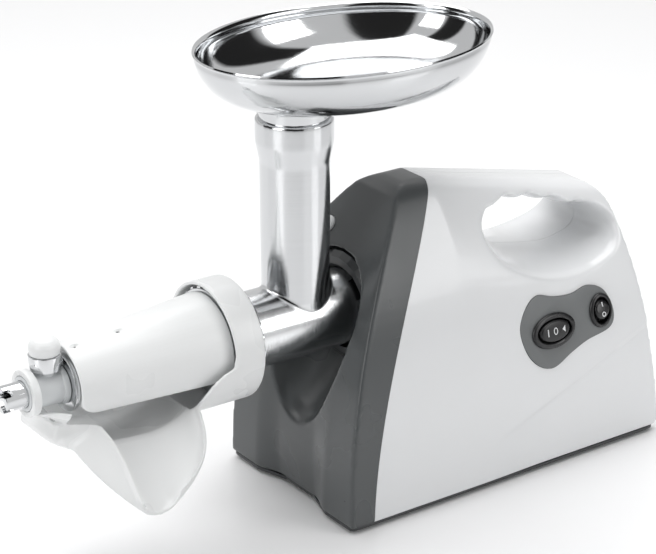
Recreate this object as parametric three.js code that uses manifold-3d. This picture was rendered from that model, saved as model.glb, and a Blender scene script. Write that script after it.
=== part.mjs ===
// Electric meat grinder with a juicing attachment.
// Millimetres, +Z up. +X runs along the barrel towards the rear of the housing,
// -Y is the side with the switches. Everything is drawn with the feed tube's axis
// at x = 0, y = 0, and the whole machine is moved at the end so that the origin is
// the bottom centre of its box.
import * as THREE from 'three';
import { mergeVertices } from 'three/addons/utils/BufferGeometryUtils.js';
import { LoftGeometry } from 'three/addons/geometries/LoftGeometry.js';
import Module from 'manifold-3d';

const wasm = await Module();
wasm.setup();

// ---------------------------------------------------------------- driving sizes

const fitGap = 0.3; // between fixed pieces that touch
const runningGap = 0.5; // round anything that turns or slides

const axisZ = 142; // barrel, screw and drive axis

const housing = {
  halfWidth: 78.4,
  ridgeZ: 231, // flat top above the handle
  ridgeX: 106, // where the top starts to slope down to the rear
  ridgeSlope: 0.223,
  ridgeShare: 0.945, // ridge height over the height where the flanks would meet
  frontX: -6.6,
  frontReach: 79, // how far the front leans back on its way up
  frontPower: 2.43,
  rearX: 293,
  rearLean: 0.125,
  seamX: 14, // joint between the front cover and the shells, at the bottom
  seamReach: 91,
  flankPower: 2.4,
  flankRoot: 0.69,
  wall: 2.6,
};
const footHeight = 2.5;
const baseThickness = 2.5;
const shellBottom = footHeight + baseThickness + fitGap;

const tube = { radius: 25, wall: 2.6, topZ: 294.5, flareRadius: 27.8, flareZ: 277, taper: 0.5 };
const barrel = { radius: 28, wall: 3.2, frontX: -70, rearX: 58, rearWall: 10 };
const tray = { centreX: 43, halfLength: 114.8, halfWidth: 83.4, rimZ: 342.8, depth: 38, sheet: 1.4 };
const lug = { count: 3, height: 3.4, x: 48, width: 6, sweep: 30, turn: 45 };
const ringNut = { radius: 40.5, frontX: -75.6, rearX: -52, ribs: 12 };
const collar = { radius: 44.6, wall: 2.6, frontX: -79, rearX: -55.4, skirtX: -105 };
const strainer = { rearRadius: 24.5, frontRadius: 16, frontX: -188, sheet: 1.1 };
const hood = {
  rearRadius: 37.3,
  frontRadius: 28,
  rearX: -76.2,
  frontX: -191,
  sheet: 2.2,
  edgeBelowAxis: 16,
};
const chute = {
  nearX: -102,
  farX: -204,
  lipNearX: -144,
  lipFarX: -173,
  bellyX: -202,
  innerY: 34,
  reach: 70,
  rimZ: 118,
  depth: 24,
  lipDepth: 12,
  wall: 2.2,
};
const snout = { radius: 12.2, frontX: -221, wall: 2.6 };
const regulator = { radius: 9.3, bore: 5.4, frontX: -237.5, rearX: -193 };
const knob = { x: -203, radius: 11.4, skirtHeight: 11, capHeight: 13 };
const feedScrew = { core: 8, flight: 3, turns: 2.5 };
const pressScrew = { core: 7, flight: 3, turns: 3 };
const shaft = { journal: 8, hexRadius: 6.4, outer: 10 };
const socket = { floorX: 48, ringFrontX: 38, ringRadius: 41, rearX: 63, wall: 2.5 };
const pocket = {
  radius: 44,
  lowerZ: 84,
  lowerRadius: 31,
  floorRadius: 42.5,
  floorLowerZ: 112,
  floorLowerRadius: 24,
};

const gearFaces = {
  caseX: 66,
  lidX: 111,
  lidThickness: 4,
  wall: 3,
};
const stages = [
  { teeth: 8, follower: 40, module: 1, x: 102, width: 5 }, // armature to first gear
  { teeth: 9, follower: 32, module: 1.5, x: 91, width: 8 }, // first to second gear
  { teeth: 10, follower: 28, module: 2, x: 74, width: 14 }, // second gear to output
];
const axlePin = 3;

const motor = {
  axisZ: 68.4,
  coreX: 137,
  coreLength: 46,
  halfWidth: 35,
  halfHeight: 38,
  rotorRadius: 21.5,
  shaftRadius: 3,
  frontBracketX: 121,
  rearBracketX: 205,
  bracketThickness: 4,
};

const panel = { x: 200, z: 109, thickness: 3.6, proud: 1 };
const modeSwitch = { x: -14.5, y: -0.5, a: 21, b: 13.4, rim: 4.2, depth: 20 };
const powerSwitch = { x: 33.9, y: 3.4, a: 11.2, b: 13.4, rim: 3, depth: 18 };
const rockerTilt = 8;

const button = { y: 27, z: 195, radius: 6.3, proud: 2.4, travel: 3 };
const gland = { z: 32, radius: 6.7, bore: 3.6, flange: 9.5 };
const feet = { x: [34, 258], y: 60, radius: 9 };

// ---------------------------------------------------------------- solids

function solid(geometry) {
  const bare = new THREE.BufferGeometry();
  bare.setAttribute('position', geometry.attributes.position);
  bare.setIndex(geometry.index);
  const merged = mergeVertices(bare, 1e-4);
  const points = merged.attributes.position.array;
  const corners = [];
  for (let i = 0; i < merged.index.count; i += 3) {
    const [a, b, c] = merged.index.array.slice(i, i + 3);
    if (a !== b && b !== c && c !== a) corners.push([a, b, c]);
  }
  const at = (i) => new THREE.Vector3().fromArray(points, 3 * i);
  const volume = corners.reduce((sum, [a, b, c]) => sum + at(a).dot(at(b).cross(at(c))), 0);
  const outwards = corners.flatMap(([a, b, c]) => (volume > 0 ? [a, b, c] : [a, c, b]));
  const triVerts = Uint32Array.from(outwards);
  const vertProperties = Float32Array.from(points);
  return new wasm.Manifold(new wasm.Mesh({ numProp: 3, vertProperties, triVerts }));
}

function join(first, ...others) {
  return others.reduce((sum, other) => sum.add(other), first);
}

function cut(first, ...others) {
  return others.reduce((rest, other) => rest.subtract(other), first);
}

function geometryOf(body) {
  const mesh = body.getMesh();
  const geometry = new THREE.BufferGeometry();
  geometry.setAttribute('position', new THREE.BufferAttribute(mesh.vertProperties, 3));
  geometry.setIndex(new THREE.BufferAttribute(mesh.triVerts, 1));
  geometry.computeVertexNormals();
  return geometry;
}

const alongX = (geometry) => geometry.rotateZ(-Math.PI / 2);
const alongZ = (geometry) => geometry.rotateX(Math.PI / 2);
const onAxis = (geometry, z = axisZ, y = 0) => geometry.translate(0, y, z);

// profile: [radius, distance along the axis], closed on itself or ending on the axis
function turned(profile, segments = 16) {
  return new THREE.LatheGeometry(profile.map(([r, h]) => new THREE.Vector2(r, h)), segments);
}

function turnedRing(inner, outer, from, to, segments = 16) {
  return turned([[inner, from], [outer, from], [outer, to], [inner, to], [inner, from]], segments);
}

function turnedRod(radius, from, to, segments = 16) {
  return turned([[0, from], [radius, from], [radius, to], [0, to]], segments);
}

const rodX = (radius, from, to, z = axisZ, y = 0, segments = 16) =>
  solid(onAxis(alongX(turnedRod(radius, from, to, segments)), z, y));
const ringX = (inner, outer, from, to, z = axisZ, y = 0, segments = 16) =>
  solid(onAxis(alongX(turnedRing(inner, outer, from, to, segments)), z, y));
const profileX = (profile, segments = 16) => solid(onAxis(alongX(turned(profile, segments))));

function block(x0, x1, y0, y1, z0, z1) {
  const geometry = new THREE.BoxGeometry(x1 - x0, y1 - y0, z1 - z0);
  return solid(geometry.translate((x0 + x1) / 2, (y0 + y1) / 2, (z0 + z1) / 2));
}

// corners: [u, v, radius]; each corner is rounded by a curve that touches both edges
function outline(corners) {
  const shape = new THREE.Shape();
  corners.forEach(([u, v, r = 0], i) => {
    const here = new THREE.Vector2(u, v);
    const [before, after] = [corners.at(i - 1), corners[(i + 1) % corners.length]]
      .map(([a, b]) => new THREE.Vector2(a, b).sub(here).setLength(r).add(here));
    const start = i === 0 ? 'moveTo' : 'lineTo';
    shape[start](before.x, before.y);
    if (r > 0) shape.quadraticCurveTo(u, v, after.x, after.y);
  });
  shape.closePath();
  return shape;
}

// the outline round two circles, as a belt lies round two pulleys
function beltOutline(u0, v0, r0, u1, v1, r1, steps = 10) {
  const along = Math.atan2(v1 - v0, u1 - u0);
  const open = Math.acos((r0 - r1) / Math.hypot(u1 - u0, v1 - v0));
  const points = [];
  for (let i = 0; i <= steps; i++) {
    const angle = along + open + (2 * (Math.PI - open) * i) / steps;
    points.push(new THREE.Vector2(u0 + r0 * Math.cos(angle), v0 + r0 * Math.sin(angle)));
  }
  for (let i = 0; i <= steps; i++) {
    const angle = along - open + (2 * open * i) / steps;
    points.push(new THREE.Vector2(u1 + r1 * Math.cos(angle), v1 + r1 * Math.sin(angle)));
  }
  return points;
}

function ovalOutline(a, b, steps = 16, u = 0, v = 0) {
  return Array.from({ length: steps }, (_, i) => {
    const angle = (2 * Math.PI * i) / steps;
    return new THREE.Vector2(u + a * Math.cos(angle), v + b * Math.sin(angle));
  });
}

function extruded(shape, from, to, curveSegments = 5) {
  const flat = Array.isArray(shape) ? new THREE.Shape(shape) : shape;
  const options = { depth: to - from, bevelEnabled: false, curveSegments };
  return new THREE.ExtrudeGeometry(flat, options).translate(0, 0, from);
}

// a shape drawn in (y, z) and extruded along X
const yzToX = new THREE.Matrix4().makeBasis(
  new THREE.Vector3(0, 1, 0), new THREE.Vector3(0, 0, 1), new THREE.Vector3(1, 0, 0));
const plateX = (shape, x0, x1, curveSegments) =>
  solid(extruded(shape, x0, x1, curveSegments).applyMatrix4(yzToX));
// a shape drawn in (x, z) and extruded along Y
const plateY = (shape, y0, y1, curveSegments) =>
  solid(extruded(shape, -y1, -y0, curveSegments).rotateX(Math.PI / 2));
// a shape drawn in (x, y) and extruded along Z
const plateZ = (shape, z0, z1, curveSegments) => solid(extruded(shape, z0, z1, curveSegments));

// skins closed rings; each ring has to run anticlockwise about the way to the last one
function loft(sections) {
  const [first, last] = [sections[0], sections.at(-1)];
  const total = (ring) => ring.reduce((sum, p) => sum.add(p), new THREE.Vector3());
  const way = total(last).divideScalar(last.length).sub(total(first).divideScalar(first.length));
  const area = first.reduce((sum, p, i) => {
    const next = first[(i + 1) % first.length];
    return sum.add(p.clone().sub(first[0]).cross(next.clone().sub(first[0])));
  }, new THREE.Vector3());
  const rings = area.dot(way) > 0 ? sections : sections.map((ring) => [...ring].reverse());
  return solid(new LoftGeometry(rings, { capStart: true, capEnd: true }));
}

// ---------------------------------------------------------------- the scene graph

const machine = new THREE.Group();

function add(name, body, colour, roughness, metalness = 0, parent = machine) {
  const material = new THREE.MeshStandardMaterial({ color: colour, roughness, metalness });
  const mesh = new THREE.Mesh(body.isBufferGeometry ? body : geometryOf(body), material);
  mesh.name = name;
  parent.add(mesh);
  return mesh;
}

const white = '#eceded';
const grey = '#5c6163';
const darkGrey = '#3d4143';
const black = '#1c1d1f';
const aluminium = '#c9cbcd';
const steel = '#d4d6d8';

// ---------------------------------------------------------------- housing

const frontAt = (z) =>
  housing.frontX + housing.frontReach * (Math.max(z, 0) / (housing.ridgeZ - 4)) ** housing.frontPower;
const seamAt = (z) => housing.seamX + housing.seamReach * (Math.max(z, 0) / housing.ridgeZ) ** 2;
const ridgeAt = (x) => housing.ridgeZ - housing.ridgeSlope * Math.max(x - housing.ridgeX, 0);
const rearAt = (z) => housing.rearX - housing.rearLean * z;

// half the width of the body at a height; the flanks would meet a little above the ridge
function flankAt(x, z) {
  const share = Math.min(z / (ridgeAt(x) / housing.ridgeShare), 1);
  return housing.halfWidth * (1 - Math.max(share, 0) ** housing.flankPower) ** housing.flankRoot;
}

function sideOutline(inset, bottom) {
  const top = housing.ridgeZ - inset;
  const corners = [];
  const frontSteps = 9;
  for (let i = 0; i <= frontSteps; i++) {
    const z = bottom + ((housing.ridgeZ - 6 - bottom) * i) / frontSteps;
    corners.push([frontAt(z) + inset, z]);
  }
  corners.push([frontAt(housing.ridgeZ) + inset + 6, top, 6]);
  corners.push([housing.ridgeX, top, 12]);
  const rearTop = housing.rearX - 24;
  corners.push([rearTop - inset, ridgeAt(rearTop) - inset, 16]);
  corners.push([rearAt(bottom) - inset, bottom, inset > 0 ? 0 : 6]);
  return outline(corners);
}

function bodySolid(inset, bottom) {
  const shares = [0, 0.2, 0.36, 0.5, 0.62, 0.73, 0.82, 0.89, 0.945, 1];
  const sections = [-20, housing.ridgeX, 310].map((x) => {
    const crown = ridgeAt(x) / housing.ridgeShare;
    const side = shares.map((share) => [Math.max(flankAt(x, share * crown) - inset, 1), share * crown]);
    const ring = [[side[0][0], bottom - 20], ...side];
    const mirrored = ring.map(([y, z]) => [-y, z]).reverse();
    return [...ring, ...mirrored].map(([y, z]) => new THREE.Vector3(x, y, z));
  });
  return loft(sections).intersect(plateY(sideOutline(inset, bottom), -100, 100, 3));
}

const bodyOuter = bodySolid(0, shellBottom);
const bodyInner = bodySolid(housing.wall, -10);

// everything in front of the curved joint between the front cover and the shells
function seamRegion(shift, inFront) {
  const far = inFront ? -60 : 340;
  const corners = [[far, -20], [seamAt(0) + shift, -20]];
  const steps = 9;
  for (let i = 1; i <= steps; i++) {
    const z = ((housing.ridgeZ + 20) * i) / steps;
    corners.push([seamAt(z) + shift, z]);
  }
  corners.push([far, housing.ridgeZ + 20]);
  return plateY(outline(corners), -100, 100);
}

// the hand hole: a slanted rounded slot that opens out towards both flanks
const holeCorners = [
  [154, 172, 14], [162, 200, 10], [249, 181, 12], [263, 163, 8], [236, 149, 16], [186, 157, 14],
];
const holeCentre = new THREE.Vector2(206, 174);
// [distance from the middle plane, how much wider the hole is there]
const holeFlare = [[-90, 26], [-56, 13], [-22, 9], [-6, 1], [6, 1], [22, 9], [56, 13], [90, 26]];

function handHole(grow) {
  const ring = outline(holeCorners).getPoints(4).slice(0, -1);
  return loft(holeFlare.map(([y, flare]) => ring.map((point) => {
    const out = point.clone().sub(holeCentre);
    const rearwards = Math.max(out.x, 0) / 60;
    out.setLength(out.length() + flare * (1 - 0.75 * rearwards) + grow).add(holeCentre);
    return new THREE.Vector3(out.x, y, out.y);
  })));
}

const holeCut = handHole(0);
const holeWall = handHole(housing.wall);

// the pocket that the head plugs into, a circle with a smaller one under it
function headPocket(grow) {
  const mouth = beltOutline(
    0, axisZ, pocket.radius + 2 + grow, 0, pocket.lowerZ - 3, pocket.lowerRadius + 2 + grow);
  const floor = beltOutline(
    0, axisZ, pocket.floorRadius + grow, 0, pocket.floorLowerZ, pocket.floorLowerRadius + grow);
  return loft([[-14, mouth], [socket.floorX + grow, floor]].map(([x, ring]) =>
    ring.map(({ x: y, y: z }) => new THREE.Vector3(x, y, z))));
}

// a shallow hollow in the middle of the front's lower edge
function frontHollow() {
  const section = (z, depth, half) => [
    [-half, -16], [half, -16], [half, -1], [half * 0.4, depth], [-half * 0.4, depth], [-half, -1],
  ].map(([y, x]) => new THREE.Vector3(housing.frontX + x, y, z));
  return loft([section(-2, 8, 44), section(60, 1, 34)]);
}

const frontSlope = (frontAt(button.z + 1) - frontAt(button.z - 1)) / 2;
const buttonFrame = new THREE.Matrix4()
  .makeTranslation(frontAt(button.z), button.y, button.z)
  .multiply(new THREE.Matrix4().makeRotationY(-Math.PI / 2 + Math.atan(frontSlope)));
const inButton = (geometry) => solid(geometry.applyMatrix4(buttonFrame));

function frontCover() {
  const skin = cut(bodyOuter, bodyInner).intersect(seamRegion(-fitGap / 2, true));
  const pocketBody = headPocket(housing.wall)
    .intersect(bodyOuter)
    .intersect(block(-40, socket.floorX + housing.wall, -90, 90, 0, housing.ridgeZ));
  const hollowWall = frontHollow().translate([housing.wall, 0, 0]).intersect(bodyOuter);
  const sleeve = inButton(alongZ(turnedRod(button.radius + 3.4, -18.5, -1, 16)));
  const bore = inButton(alongZ(turned([
    [0, -30], [2.5, -30], [2.5, -16.5], [button.radius + 1.9, -16.5],
    [button.radius + 1.9, -3.4], [button.radius + runningGap, -3.4], [button.radius + runningGap, 12], [0, 12],
  ], 16)));
  const throat = rodX(socket.ringRadius - 6 + fitGap, socket.floorX - 1, socket.floorX + 10, axisZ, 0, 24);
  return cut(join(skin, pocketBody, hollowWall, sleeve), headPocket(0), frontHollow(), bore, throat);
}

// posts for the screws that hold the base, each with a web to its flank
function shellPosts(side) {
  const posts = feet.x.map((x) => {
    const post = solid(alongZ(turnedRod(5, shellBottom, 22, 8)).translate(x, side * feet.y, 0));
    const reach = housing.halfWidth - housing.wall + 0.6;
    const [near, far] = [feet.y, reach].map((y) => side * y).sort((a, b) => a - b);
    const hole = solid(alongZ(turnedRod(1.9, 0, 18, 8)).translate(x, side * feet.y, 0));
    return cut(join(post, block(x - 1.5, x + 1.5, near, far, shellBottom, 20)), hole);
  });
  return join(...posts);
}

// the switch panel lies in a plane that touches the flank
const flankStepX = (flankAt(panel.x + 20, panel.z) - flankAt(panel.x - 20, panel.z)) / 40;
const flankStepZ = (flankAt(panel.x, panel.z + 15) - flankAt(panel.x, panel.z - 15)) / 30;
const panelOut = new THREE.Vector3(-flankStepX, -1, -flankStepZ).normalize();
const panelAlong = new THREE.Vector3(1, -flankStepX, 0).normalize();
const panelUp = panelOut.clone().cross(panelAlong);
const panelFrame = new THREE.Matrix4()
  .makeBasis(panelAlong, panelUp, panelOut)
  .setPosition(panel.x, -flankAt(panel.x, panel.z) + 0.8, panel.z);
const panelSolid = (shape, from, to, segments) =>
  solid(extruded(shape, from, to, segments).applyMatrix4(panelFrame));

// two round lobes joined by a slight waist
const panelLine = [
  [-46, 5], [-39, 21], [-26, 29], [-10, 24.5], [7, 22.5], [24, 25], [39, 18.5],
  [47, 1], [42, -11.5], [18, -16], [2, -21], [-20, -28.5], [-38, -17],
];

function panelOutline(grow) {
  const points = panelLine.map(([u, v]) => {
    const out = new THREE.Vector2(u, v);
    out.setLength(out.length() + grow);
    return new THREE.Vector3(out.x, out.y, 0);
  });
  const curve = new THREE.CatmullRomCurve3(points, true);
  return curve.getPoints(24).slice(0, -1).map(({ x, y }) => new THREE.Vector2(x, y));
}

function shellHalf(side) {
  const [near, far] = [fitGap / 2, 100].map((y) => side * y).sort((a, b) => a - b);
  const half = block(-40, 340, near, far, -20, 260);
  const hollow = cut(bodyInner, holeWall);
  const wallSolid = cut(bodyOuter, hollow, holeCut).intersect(seamRegion(fitGap / 2, false));
  const glandHole = rodX(gland.radius + fitGap, 240, 320, gland.z);
  const pieces = join(wallSolid, shellPosts(side));
  const shell = cut(pieces.intersect(half), glandHole);
  return side < 0 ? cut(shell, panelSolid(panelOutline(fitGap), -12, 12)) : shell;
}

function basePlate() {
  const half = housing.halfWidth - 1.5;
  const [frontX, rearX] = [housing.frontX + 1.5, housing.rearX - 4];
  const corners = [
    [frontX, -half, 4], [rearX, -half, 8], [rearX, half, 8], [frontX, half, 4],
    [frontX, 44], [frontX + 8, 17], [frontX + 8, -17], [frontX, -44],
  ];
  const plate = plateZ(outline(corners), footHeight + fitGap / 2, footHeight + baseThickness, 3);
  const holes = feet.x.flatMap((x) => [-1, 1].map((side) =>
    solid(alongZ(turnedRod(1.9, 0, 10, 8)).translate(x, side * feet.y, 0))));
  return cut(plate, ...holes);
}

add('front_cover', frontCover(), grey, 0.42);
add('shell_control_side', shellHalf(-1), white, 0.22);
add('shell_plain_side', shellHalf(1), white, 0.22);
add('base_plate', basePlate(), darkGrey, 0.6);

for (const [end, x] of [['front', feet.x[0]], ['rear', feet.x[1]]]) {
  for (const [side, y] of [['control', -feet.y], ['plain', feet.y]]) {
    const foot = alongZ(turned([
      [4.2, 0], [feet.radius - 1, 0], [feet.radius, footHeight], [4.2, footHeight], [4.2, 0],
    ], 12));
    add(`foot_${end}_${side}`, foot, black, 0.9).position.set(x, y, 0);
    const screw = alongZ(turned([
      [0, 0.7], [3.4, 0.7], [3.4, footHeight - 0.15], [1.5, footHeight - 0.15], [1.5, 16], [0, 17],
    ], 8));
    add(`base_screw_${end}_${side}`, screw, steel, 0.35, 1).position.set(x, y, 0);
  }
}

// the lead leaves through this bush; the lead itself is not part of the model
const glandX = rearAt(gland.z);
add('cord_inlet', profileX([
  [gland.bore, glandX - 12], [gland.radius, glandX - 12], [gland.radius, glandX + 1],
  [gland.flange, glandX + 1.4],
  [gland.flange - 1.5, glandX + 3.4], [gland.bore, glandX + 3.4], [gland.bore, glandX - 12],
], 20).translate([0, 0, gland.z - axisZ]), black, 0.7);

// ---------------------------------------------------------------- switches

function ovalPlate(a, b, from, to, centre, steps = 16) {
  return panelSolid(ovalOutline(a, b, steps, centre.x, centre.y), from, to);
}

// a rim in front of the panel, a body behind it, and a well for the rocker
function switchBody(spec) {
  const rim = ovalPlate(spec.a, spec.b, panel.proud + fitGap / 2, panel.proud + 2.4, spec);
  const body = ovalPlate(spec.a - 2, spec.b - 2, -spec.depth, panel.proud + 1, spec, 16);
  const well = ovalPlate(spec.a - spec.rim, spec.b - spec.rim, -9, 12, spec);
  return cut(join(rim, body), well);
}

// the rocker's ends are arcs about its pin, so it tilts without touching the well
function rocker(spec, along) {
  const gap = 1.2;
  const [a, b] = [spec.a - spec.rim - gap, spec.b - spec.rim - gap];
  const cap = ovalPlate(a, b, -6, panel.proud + 3.4, spec);
  const reach = along ? a : b;
  const drum = turnedRod(reach, -20, 20, 28);
  if (!along) alongX(drum);
  const round = solid(drum.translate(spec.x, spec.y, rockerPinDepth).applyMatrix4(panelFrame));
  return cap.intersect(round);
}

const rockerPinDepth = -3;

function turnedInPanel(body, spec, axis, degrees) {
  const offset = new THREE.Matrix4().makeTranslation(spec.x, spec.y, rockerPinDepth);
  const there = panelFrame.clone().multiply(offset);
  const turn = new THREE.Matrix4().makeRotationAxis(axis, THREE.MathUtils.degToRad(degrees));
  return geometryOf(body).applyMatrix4(there.clone().multiply(turn).multiply(there.clone().invert()));
}

const panelPlate = cut(
  panelSolid(panelOutline(0), panel.proud - panel.thickness, panel.proud),
  ...[modeSwitch, powerSwitch].map((spec) => ovalPlate(spec.a - 2 + fitGap, spec.b - 2 + fitGap, -12, 12, spec)));
add('control_panel', panelPlate, grey, 0.5);
add('mode_switch', switchBody(modeSwitch), black, 0.35);
add('power_switch', switchBody(powerSwitch), black, 0.35);
add('mode_rocker', rocker(modeSwitch, true), black, 0.3);
const sideways = new THREE.Vector3(1, 0, 0);
add('power_rocker', turnedInPanel(rocker(powerSwitch, false), powerSwitch, sideways, -rockerTilt), black, 0.3);

// ---------------------------------------------------------------- head socket and its catch

function bayonetSocket() {
  const { floorX, ringFrontX, ringRadius, rearX, wall } = socket;
  const mouth = barrel.radius + runningGap;
  const chamber = barrel.radius + lug.height + runningGap;
  const throat = ringRadius - 6;
  const ring = profileX([
    [mouth, ringFrontX + 3], [mouth + 3, ringFrontX], [ringRadius - 4, ringFrontX], [ringRadius, ringFrontX + 4],
    [ringRadius, floorX - fitGap], [throat, floorX - fitGap], [throat, rearX], [shaft.outer + 1, rearX],
    [shaft.outer + 1, rearX - wall], [chamber, rearX - wall], [chamber, lug.x - runningGap],
    [mouth, lug.x - runningGap], [mouth, ringFrontX + 3],
  ], 24);
  const slots = lugSectors(lug.height + runningGap, ringFrontX - 5, lug.x + 1, lug.sweep + 6)
    .map((sector) => sector.translate([0, 0, -axisZ]).rotate([lug.turn, 0, 0]).translate([0, 0, axisZ]));
  return cut(ring, ...slots);
}

// pie-shaped sectors of a ring round the barrel
function lugSectors(height, x0, x1, sweep) {
  return Array.from({ length: lug.count }, (_, i) => {
    const middle = (2 * Math.PI * i) / lug.count + Math.PI / 2;
    const half = THREE.MathUtils.degToRad(sweep / 2);
    const arc = (radius, side) => Array.from({ length: 5 }, (_, k) => {
      const angle = middle + side * half * (k / 2 - 1);
      return new THREE.Vector2(radius * Math.cos(angle), axisZ + radius * Math.sin(angle));
    });
    return plateX([...arc(barrel.radius - 1, 1), ...arc(barrel.radius + height, -1)], x0, x1);
  });
}

add('bayonet_socket', bayonetSocket(), darkGrey, 0.4);

add('release_button', inButton(alongZ(turned([
  [0, -20], [2, -20], [2, -6], [button.radius + 1.4, -6], [button.radius + 1.4, -3.8], [button.radius, -3.8],
  [button.radius, button.proud - 1], [button.radius - 1.2, button.proud], [0, button.proud],
], 16))), white, 0.3);

function coilSpring(radius, wire, from, to, turns) {
  const steps = turns * 7;
  const points = Array.from({ length: steps + 1 }, (_, i) => {
    const angle = (2 * Math.PI * turns * i) / steps;
    const height = from + ((to - from) * i) / steps;
    return new THREE.Vector3(radius * Math.cos(angle), radius * Math.sin(angle), height);
  });
  const extrudePath = new THREE.CatmullRomCurve3(points);
  const section = new THREE.Shape(ovalOutline(wire, wire, 4));
  return new THREE.ExtrudeGeometry(section, { steps, extrudePath, bevelEnabled: false });
}

add('release_spring', coilSpring(4.6, 0.5, -15.8, -6.8, 4).applyMatrix4(buttonFrame), steel, 0.3, 1);

// ---------------------------------------------------------------- head

function headCasting() {
  const { radius, wall, topZ, flareRadius, flareZ, taper } = tube;
  const neck = tube.flareZ - 14;
  const tubeBody = solid(alongZ(turned([
    [0, axisZ], [radius - taper, axisZ], [radius, neck], [flareRadius, flareZ], [flareRadius, topZ - 1],
    [flareRadius - 0.8, topZ], [0, topZ],
  ], 24)));
  const tubeBore = solid(alongZ(turned([
    [0, axisZ], [radius - taper - wall, axisZ], [radius - wall, neck + 4], [flareRadius - wall, flareZ + 2],
    [flareRadius - wall, topZ + 5], [0, topZ + 5],
  ], 24)));
  const { frontX, rearX, rearWall } = barrel;
  const barrelBody = profileX([
    [0, frontX], [barrel.radius - 1, frontX], [barrel.radius, frontX + 1], [barrel.radius, rearX - 1.5],
    [barrel.radius - 1.5, rearX], [0, rearX],
  ], 24);
  const bore = profileX([
    [0, frontX - 5], [barrel.radius - barrel.wall, frontX - 5], [barrel.radius - barrel.wall, rearX - rearWall],
    [shaft.journal + runningGap, rearX - rearWall], [shaft.journal + runningGap, rearX + 5], [0, rearX + 5],
  ], 24);
  const lugs = lugSectors(lug.height, lug.x, lug.x + lug.width, lug.sweep);
  return cut(join(tubeBody, barrelBody, ...lugs), tubeBore, bore);
}

add('head_casting', headCasting(), aluminium, 0.2, 1);

// depth of the dish below its rim at a share of the way from the middle to the rim
const dishDepth = (share) => tray.depth * Math.max(1 - share ** 6.5, 0) ** 0.625;

function trayBowl(inset, extra) {
  const neckRadius = tube.flareRadius - tube.wall - fitGap - inset;
  const floorZ = tray.rimZ - tray.depth;
  const sections = [
    [0, neckRadius, neckRadius, tube.flareZ + 4 - extra],
    [0, neckRadius, neckRadius, floorZ - 5 + inset],
    [2, neckRadius + 6, neckRadius + 6, floorZ - 1 + inset],
  ];
  for (const share of [0.7, 0.84, 0.93, 0.98]) {
    const z = tray.rimZ - dishDepth(share) + inset * 0.8;
    const [a, b] = [tray.halfLength * share - inset, tray.halfWidth * share - inset];
    sections.push([tray.centreX - 2 * (1 - share), a, b, z]);
  }
  const [a, b] = [tray.halfLength - inset, tray.halfWidth - inset];
  sections.push([tray.centreX, a, b, tray.rimZ - 2 + extra * 0.2], [tray.centreX, a, b, tray.rimZ + extra]);
  return loft(sections.map(([x, a, b, z]) =>
    ovalOutline(a, b, 28).map(({ x: u, y: v }) => new THREE.Vector3(x + u, v, z))));
}

add('tray', cut(trayBowl(0, 0), trayBowl(tray.sheet, 8)), steel, 0.12, 1);

function helicalFlight(x0, x1, turns, thickness, innerAt, outerAt) {
  const steps = Math.round(turns * 11);
  const sections = [];
  for (let i = 0; i <= steps; i++) {
    const share = i / steps;
    const angle = 2 * Math.PI * turns * share;
    const x = x0 + (x1 - x0) * share;
    const corner = (dx, r) => new THREE.Vector3(x + dx, r * Math.cos(angle), axisZ + r * Math.sin(angle));
    const half = thickness / 2;
    const [inner, outer] = [innerAt(share), outerAt(share)];
    sections.push([corner(-half, inner), corner(-half, outer), corner(half, outer), corner(half, inner)]);
  }
  return loft(sections);
}

const screwJoinX = barrel.frontX + 3;

function feedScrewSolid() {
  const boreRadius = barrel.radius - barrel.wall - 1;
  const wallX = barrel.rearX - barrel.rearWall;
  const core = profileX([
    [0, screwJoinX], [feedScrew.core, screwJoinX], [feedScrew.core + 4, wallX - 4], [shaft.journal, wallX - 3.6],
    [shaft.journal, barrel.rearX + 1], [shaft.hexRadius - 0.4, barrel.rearX + 1], [0, barrel.rearX + 1],
  ], 12);
  const hexagon = ovalOutline(shaft.hexRadius, shaft.hexRadius, 6, 0, axisZ);
  const tail = plateX(hexagon, barrel.rearX - 1, barrel.rearX + 14);
  const wormAt = (share) => feedScrew.core - 1.5 + 4 * share;
  const { turns, flight } = feedScrew;
  const worm = helicalFlight(screwJoinX + 3, wallX - 6, turns, flight, wormAt, () => boreRadius);
  const driveHole = plateX(ovalOutline(5, 5, 4, 0, axisZ), screwJoinX - 5, screwJoinX + 14);
  return cut(join(core, tail, worm), driveHole);
}

function pressScrewSolid() {
  const [rearX, frontX] = [screwJoinX - fitGap, regulator.rearX - 7];
  const wormFront = strainer.frontX + 4;
  const core = profileX([
    [0, frontX], [4.4, frontX], [5, wormFront - 6], [10, wormFront], [pressScrew.core + 2, rearX], [0, rearX],
  ], 12);
  const key = plateX(ovalOutline(4.6, 4.6, 4, 0, axisZ), rearX - 1, rearX + 12);
  const reachAt = (share) => strainer.frontRadius - 3 + (strainer.rearRadius - strainer.frontRadius) * share;
  const worm = helicalFlight(
    wormFront + 3, rearX - 4, pressScrew.turns, pressScrew.flight, () => pressScrew.core - 1, reachAt);
  return join(core, key, worm);
}

add('feed_screw', feedScrewSolid(), aluminium, 0.3, 1);
add('press_screw', pressScrewSolid(), white, 0.4);
const washerX = barrel.rearX - barrel.rearWall - fitGap;
add('screw_washer', ringX(shaft.journal + fitGap, 15, washerX - 3, washerX), white, 0.5);

// ---------------------------------------------------------------- juicing attachment

const flangeX = barrel.frontX - fitGap;

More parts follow.
